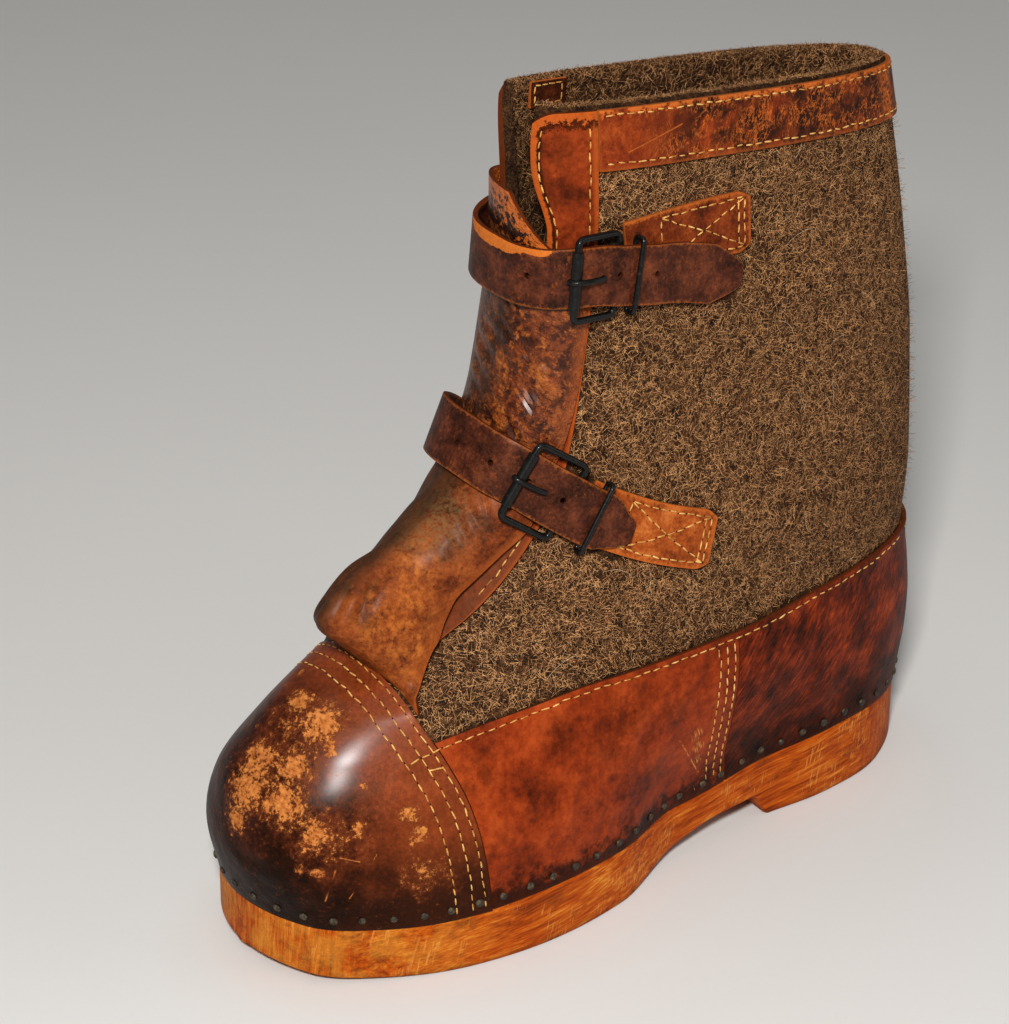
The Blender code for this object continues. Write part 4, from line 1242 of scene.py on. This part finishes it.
def hairFinish(name, brown):
    look = Finish(name, Specular_IOR_Level=0.12)
    shade = look.noise(1.3, 2) * 1.1 + look.noise(7, 4, 0.65) * 1.6 + look.noise(26, 3) * 0.5 - 0.8
    rust = look.between(look.noise(1.1, 1), 0.56, 0.66)
    colour = look.mix(rust * 0.5, look.shade(tint(*brown), shade + 0.25), tint(128, 72, 36))
    return look.done(colour, 0.7)


# Thin strips that lie on the wool, bent and lifted a little
def hairs(root, out, length, width, arch, tipLift, bend=0.16, steps=2):
    count = len(root)
    level = unit(np.cross(out, np.array([0.02, 0.03, 1.0])))
    rise = np.cross(level, out)
    heading = dice.uniform(0, 2 * np.pi, (count, 1))
    along = unit(level * np.cos(heading) + rise * np.sin(heading))
    aside = np.cross(out, along)
    bow = dice.normal(0, bend, (count, 1))
    rows = []
    for t in np.linspace(0, 1, steps):
        middle = root + along * (length * (t - 0.5)) + aside * (bow * length * 2 * (t - 0.5) ** 2)
        middle = middle + out * (0.1 + arch * 4 * t * (1 - t) + tipLift * t * t)
        wide = width / 2 * (0.25 + 0.75 * math.sin(math.pi * (0.12 + 0.76 * t)))
        rows += [middle - aside * wide, middle + aside * wide]
    return np.stack(rows, 1)


def hairPiece(name, strips, finish):
    steps = strips[0].shape[1] // 2
    points = np.concatenate(strips)
    first = np.arange(len(points))[:, None, None] * (2 * steps)
    quad = np.array([[2 * k, 2 * k + 1, 2 * k + 3, 2 * k + 2] for k in range(steps - 1)])
    piece = meshPiece(name, points.reshape(-1, 3), (first + quad).reshape(-1, 4).tolist())
    dress(piece, finish)


def openWool(count):  # angles and heights spread evenly where the wool shows
    angles, heights = [], []
    tables = [np.array(look[name]) for look in (anchorLook, strapLook) for name in ("upper", "lower")]
    while sum(len(part) for part in angles) < count:
        height = dice.uniform(wool["lowest"], last["collar"] - wool["underBand"], count)
        angle = dice.uniform(-180, 180, count)
        facing = angleAt(seamAt["facing"](height) + 0.5, height)
        limit = np.where(height > facingLook["base"] + 1, facing, angleAt(seamAt["cap"](height) + 1, height))
        spot = lastPoint(angle, height)
        shown = (height > seamAt["foxing"](spot[:, 1]) + 0.8) & (np.abs(angle) < limit)
        for table in tables:
            middle = np.interp(angle % 360, table[:, 0], table[:, 1], left=-100, right=-100)
            shown &= np.abs(height - middle) > wool["clear"]
        stretch = np.linalg.norm(lastPoint(angle + 0.5, height) - lastPoint(angle - 0.5, height), axis=1)
        keep = shown & (dice.uniform(0, 2.2, count) < stretch)
        angles.append(angle[keep])
        heights.append(height[keep])
    return np.concatenate(angles)[:count], np.concatenate(heights)[:count]


def throatSpread(height):  # angles spread over a level section from one flap's edge to the other's
    outer = frontAngle(seamAt["throatOuter"](height), height, 1) - 1
    inner = frontAngle(seamAt["throatInner"](height), height, -1) - 1
    return dice.uniform(-inner, outer)


def makeWool():
    piece = sheetPiece("felt_upper", wool, woolPlace, last["felt"], -1.0, wool["edge"])
    dress(piece, woolFinish("feltWool"), None, "upper")
    for name, brown in wool["browns"].items():
        count = wool["fibres"]
        angle, height = openWool(count)
        short, long = wool["length"]
        length = short + (long - short) * dice.uniform(0, 1, (count, 1)) ** 2
        width = dice.uniform(*wool["width"], (count, 1))
        loose = (dice.uniform(0, 1, (count, 1)) > 0.93) * dice.uniform(0.5, 3.5, (count, 1))
        arch = dice.uniform(0.1, 0.7, (count, 1))
        out = lastNormal(angle, height)
        strips = [hairs(lastPoint(angle, height), out, length, width * (1 - 0.12 * loose), arch, loose)]
        some = count // 5  # the lining near the collar
        height = last["collar"] - wool["lining"] * dice.uniform(0, 1, some) ** 1.3
        angle = throatSpread(height)
        roots = onLast(angle, height, np.full(some, -last["felt"]))
        inward = -lastNormal(angle, height)
        strips.append(hairs(roots, inward, length[:some], width[:some], arch[:some], loose[:some]))
        some = count // 9  # the rim
        height = np.full(some, float(last["collar"]))
        angle = throatSpread(height)
        roots = onLast(angle, height, -dice.uniform(0.2, last["felt"] - 0.2, some))
        up = unit(np.array([0, 0, 1.0]) + dice.normal(0, 0.25, (some, 3)))
        strips.append(hairs(roots, up, length[:some] * 0.6, width[:some] * 0.8, arch[:some],
                            loose[:some] * 0.5))
        hairPiece("felt_fibres_" + name, strips, hairFinish(name + "Fibres", brown))
    count = wool["strays"]
    angle, height = openWool(count)
    flat = np.ones((count, 1))
    strip = hairs(lastPoint(angle, height), lastNormal(angle, height), dice.uniform(8, 20, (count, 1)),
                  flat * 0.18, flat, dice.uniform(0, 1, (count, 1)), 0.5, 12)
    hairPiece("felt_stray_hairs", [strip], hairFinish("strayHairs", (188, 164, 128)))


makeWool()
print("felt laid")

patchLook = {
    "back": -2.0, "front": -22.0, "low": 331.0, "high": 343.0, "wall": 1.6, "columns": 24, "rows": 16,
}


def patchSpot(across, up):  # angle and height on the inner flap
    height = patchLook["low"] + (patchLook["high"] - patchLook["low"]) * up
    y = patchLook["front"] + (patchLook["back"] - patchLook["front"]) * across
    return -angleAt(y, height), height


def patchPlace(across, up):
    angle, height = patchSpot(across, up)
    return onLast(angle, height, np.full_like(height, -last["felt"] - last["gap"]))


def makePatch():  # the small piece sewn inside the inner flap
    look = Finish("patchHide", **hideShine)
    colour, flecks = look.hide(((26, 11, 6), (56, 23, 12), (96, 42, 19)), 7)
    finish = look.done(colour, 0.5 + flecks * 0.15, look.grain(1.3, 0.07, 0.4, 1.0))
    piece = sheetPiece("flap_patch_leather", patchLook, patchPlace, patchLook["wall"], -1.0)
    dress(piece, finish, paleEdge)
    corners = np.array([(0.12, 0.14), (0.88, 0.14), (0.88, 0.86), (0.12, 0.86), (0.12, 0.14)])
    for start, end in zip(corners[:-1], corners[1:]):
        share = np.linspace(start, end, 20)
        out = -lastNormal(*patchSpot(*share.T))
        sewRow(patchPlace(*share.T) + out * patchLook["wall"], out, 3.6)


makePatch()

woodLook = {
    "arch": 12, "toeSpring": 5, "heel": 103, "breastRise": 10.5, "breastRake": 6,
    "archFront": 0.56, "flatFront": 0.80, "fullArch": 0.75, "stations": 300, "arris": 1.4,
}
footbedLook = {"columns": 30, "rows": 90, "ledge": 7.8}
insoleLook = {"wall": 4, "inset": 8.4, "columns": 40, "rows": 120}


def soleBottom(y):
    heelFront = half - woodLook["heel"]
    archBack = heelFront - woodLook["breastRake"]
    archFront = half - woodLook["archFront"] * last["length"]
    flatFront = half - woodLook["flatFront"] * last["length"]
    share = (y - archFront) / (archBack - archFront)
    arch = woodLook["arch"] * ease(share / woodLook["fullArch"])
    breast = woodLook["breastRise"] * (heelFront - y) / woodLook["breastRake"]
    breast = np.clip(breast, 0, woodLook["breastRise"])
    under = np.where(y > archBack, breast, np.where(y > archFront, arch, 0))
    under = np.where(y > heelFront, 0, under)
    return under + woodLook["toeSpring"] * (np.clip(flatFront - y, 0, None) / (half + flatFront)) ** 2


def soleRing():  # once round the section: side, mm in from it, share of the height, mm up
    arris, quarter = woodLook["arris"], np.radians(np.linspace(0, 90, 5))
    right = [(0.5, 0, 0, 0)]
    right += [(1, arris * (1 - math.sin(a)), 0, arris * (1 - math.cos(a))) for a in quarter]
    right += [(1, 0, share, 0) for share in np.linspace(0.15, 0.85, 5)]
    right += [(1, arris * (1 - math.cos(a)), 1, -arris * (1 - math.sin(a))) for a in quarter]
    right += [(0.5, 0, 1, 0)]
    left = [(-side, inward, share, rise) for side, inward, share, rise in reversed(right)]
    return np.array(right + left + right[:1])


def woodFinish():
    look = Finish("paleWood", Specular_IOR_Level=0.12, Specular_Tint=(1.0, 0.7, 0.45, 1.0))
    _, y, z = look.split(look.place)
    bent = look.wander(50, 5)
    rings = look.noise(2.4, 5, 0.6, look.streaks((0.02, 1.0, 0.1), 16, bent))
    fine = look.noise(0.8, 4, 0.6, look.streaks((0.02, 1.0, 0.12), 24, bent))
    ends = look.noise(1.3, 5, 0.65, look.streaks((0.06, 0.04, 1.0), 14))
    tip = look.between(y, -142, -160).most(look.between(y, 120, 150) * 0.8)
    tone = (rings * 0.6 + fine * 0.4) * (1.0 - tip * 0.75) + ends * tip * 0.75
    tone = tone + (look.noise(45, 3) - 0.5) * 0.25
    colour = look.ramp(tone, (0.34, tint(88, 30, 3)), (0.46, tint(156, 60, 6)), (0.56, tint(184, 84, 14)),
                       (0.68, tint(212, 132, 46)))
    toe = look.between(y, -70, -150) * look.between(look.noise(14, 5, 0.6), 0.36, 0.56)
    colour = look.mix(toe * 0.45, colour, look.shade(tint(202, 134, 46), 0.5 + fine))
    stain = look.between(look.noise(9, 6, 0.7, look.streaks((0, 1.0, 0.2), 2.5)), 0.54, 0.70)
    colour = look.mix(stain * 0.6, colour, tint(94, 38, 10))
    saw = look.between(look.noise(1.0, 3, 0.6, look.streaks((0.1, 0.2, 1.0), 12)), 0.54, 0.62) * 0.5
    colour = look.mix(saw * look.between(look.noise(20, 3), 0.5, 0.62), colour, tint(218, 150, 70))
    grime = look.between(z + look.noise(8, 5) * 8, 9, 3)
    colour = look.shade(colour, 1.0 - grime * 0.45)
    return look.done(colour, 0.5 + fine * 0.2, rings * 0.4 + fine * 0.25 + look.noise(30, 2) * 2.0)


def footbedPlace(level, inset):
    def place(across, up):
        y = (half - last["length"] * up) * (1 - inset / half)
        narrowed = 1 - 2 * inset / last["ballWidth"]
        station = (half - y) / last["length"]

        def halfWidth(side):
            within = np.maximum(outlineHalf(station, side) - inset, 0)
            return np.minimum(outlineHalf(up, side) * narrowed, within)

        inner, outer = -halfWidth(2), halfWidth(1)
        x = inner + (outer - inner) * across + toeShift(up)
        return np.stack([x, y, np.full_like(y, level)], -1)

    return place


def makeSole():
    ring = soleRing()
    deselect()
    rounds = len(ring) - 1
    bpy.ops.mesh.primitive_grid_add(x_subdivisions=rounds, y_subdivisions=woodLook["stations"], size=1)
    piece = takeNew("wooden_sole")
    flat = readPoints(piece.data) + 0.5
    station = (1 - np.cos(np.pi * np.clip(flat[:, 1], 0, 1))) / 2
    y = half - last["length"] * station
    outer, inner = outlineHalf(station, 1) + toeShift(station), -outlineHalf(station, 2) + toeShift(station)
    low, high = soleBottom(y), woodLine(y)
    side, inward, share, rise = ring[np.round(flat[:, 0] * rounds).astype(int)].T
    reach = np.maximum(np.abs(side) * (outer - inner) / 2 - inward, 0)
    x = (outer + inner) / 2 + np.sign(side) * reach
    points = np.stack([x, y * (1 - inward / half), low + (high - low) * share + rise], -1)
    writePoints(piece.data, toFrame(points))
    inEdit(piece, weld, bpy.ops.mesh.normals_make_consistent)
    smoothShade(piece, 30)
    wood = woodFinish()
    dress(piece, wood, None, "sole")
    place = footbedPlace(last["footbed"], footbedLook["ledge"])
    deep = last["footbed"] - last["woodEdge"] + 1
    dress(sheetPiece("wooden_footbed", footbedLook, place, deep, -1.0, 0.6), wood)
    place = footbedPlace(last["footbed"] + last["gap"], insoleLook["inset"])
    inside = sheetPiece("felt_insole", insoleLook, place, insoleLook["wall"], 1.0, 1.0)
    dress(inside, woolFinish("insoleWool"), None, "insole")


makeSole()
print("sole shaped")


def threadFinish():
    look = Finish("linenThread", Specular_IOR_Level=0.2)
    grime = look.noise(9, 4, 0.6) * 0.6 + look.noise(1.5, 4) * 0.4
    colour = look.ramp(grime, (0.36, tint(146, 90, 36)), (0.50, tint(208, 152, 76)),
                       (0.64, tint(238, 198, 122)))
    return look.done(colour, 0.7, look.noise(0.5, 2, 0.5, look.streaks((0.5, 0.6, 0.6), 3)) * 0.3)


def makeThread():
    deselect()
    bpy.ops.mesh.primitive_uv_sphere_add(segments=6, ring_count=4, radius=0.5)
    model = takeNew("stitch_model")
    points = readPoints(model.data)[:, (2, 0, 1)]
    points[:, 2] -= 0.9 * points[:, 0] ** 2
    writePoints(model.data, points)
    inEdit(model, bpy.ops.mesh.normals_make_consistent)
    dress(scatter("linen_stitches", model, sewn), threadFinish())
    bpy.data.objects.remove(model)
    # dark discs at the stitch ends: painted shade in place of real needle holes
    deselect()
    bpy.ops.mesh.primitive_circle_add(vertices=8, radius=0.5, fill_type="NGON")
    model = takeNew("hole_shade_model")
    look = Finish("needleHoleShade", Specular_IOR_Level=0.1)
    dark = look.shade(tint(24, 11, 7), 0.5 + look.noise(1, 2))
    dress(scatter("needle_hole_shades", model, holeShades), look.done(dark, 0.9))
    bpy.data.objects.remove(model)


makeThread()
print("seams sewn")

stage = {
    "camera": (1009.3, -782.9, 844.9), "back": (0.7096, -0.5206, 0.4747), "roll": 0.5,
    "focal": 3412, "frame": 1024, "aim": (0, 0, 0.15),
    "lights": (  # name, place in m, size in m, watts
        ("key", (1.05, -0.92, 1.24), 0.2, 34), ("sky", (-0.3, -0.2, 2.2), 1.6, 8),
        ("fill", (1.3, 1.3, 0.9), 1.2, 5)),
    "air": (0.97, 0.98, 1.0), "airStrength": 0.14,
}


def floorFinish():
    look = Finish("paleFloor")
    cloud = look.noise(300, 4) * 0.04 + look.noise(3, 3) * 0.03
    return look.done(look.shade(tint(218, 215, 210), cloud + 0.965), 0.85)


def makeStage():
    deselect()
    bpy.ops.mesh.primitive_plane_add(size=6)
    floor = takeNew("floor")
    floor.data.materials.append(floorFinish())
    world = bpy.context.scene.world or bpy.data.worlds.new("world")
    bpy.context.scene.world = world
    world.use_nodes = True
    sky = world.node_tree.nodes["Background"].inputs
    sky[0].default_value = (*stage["air"], 1)
    sky[1].default_value = stage["airStrength"]
    for name, place, size, watts in stage["lights"]:
        bpy.ops.object.light_add(type="AREA", location=place)
        lamp = bpy.context.object
        lamp.name = name
        lamp.data.size = size
        lamp.data.energy = watts
        lamp.rotation_euler = (Vector(stage["aim"]) - Vector(place)).to_track_quat("-Z", "Y").to_euler()
    back = unit(np.array(stage["back"]))
    right = unit(np.cross([0, 0, 1], back))
    up = np.cross(back, right)
    roll = math.radians(stage["roll"])
    right, up = right * math.cos(roll) + up * math.sin(roll), up * math.cos(roll) - right * math.sin(roll)
    bpy.ops.object.camera_add()
    camera = bpy.context.object
    camera.data.lens = stage["focal"] / stage["frame"] * camera.data.sensor_width
    axes = Matrix([[right[k], up[k], back[k]] for k in range(3)]).to_4x4()
    camera.matrix_world = Matrix.Translation(toFrame(np.array(stage["camera"]))) @ axes
    bpy.context.scene.camera = camera
    bpy.context.scene.view_settings.view_transform = "Standard"


makeStage()
print("stage set")
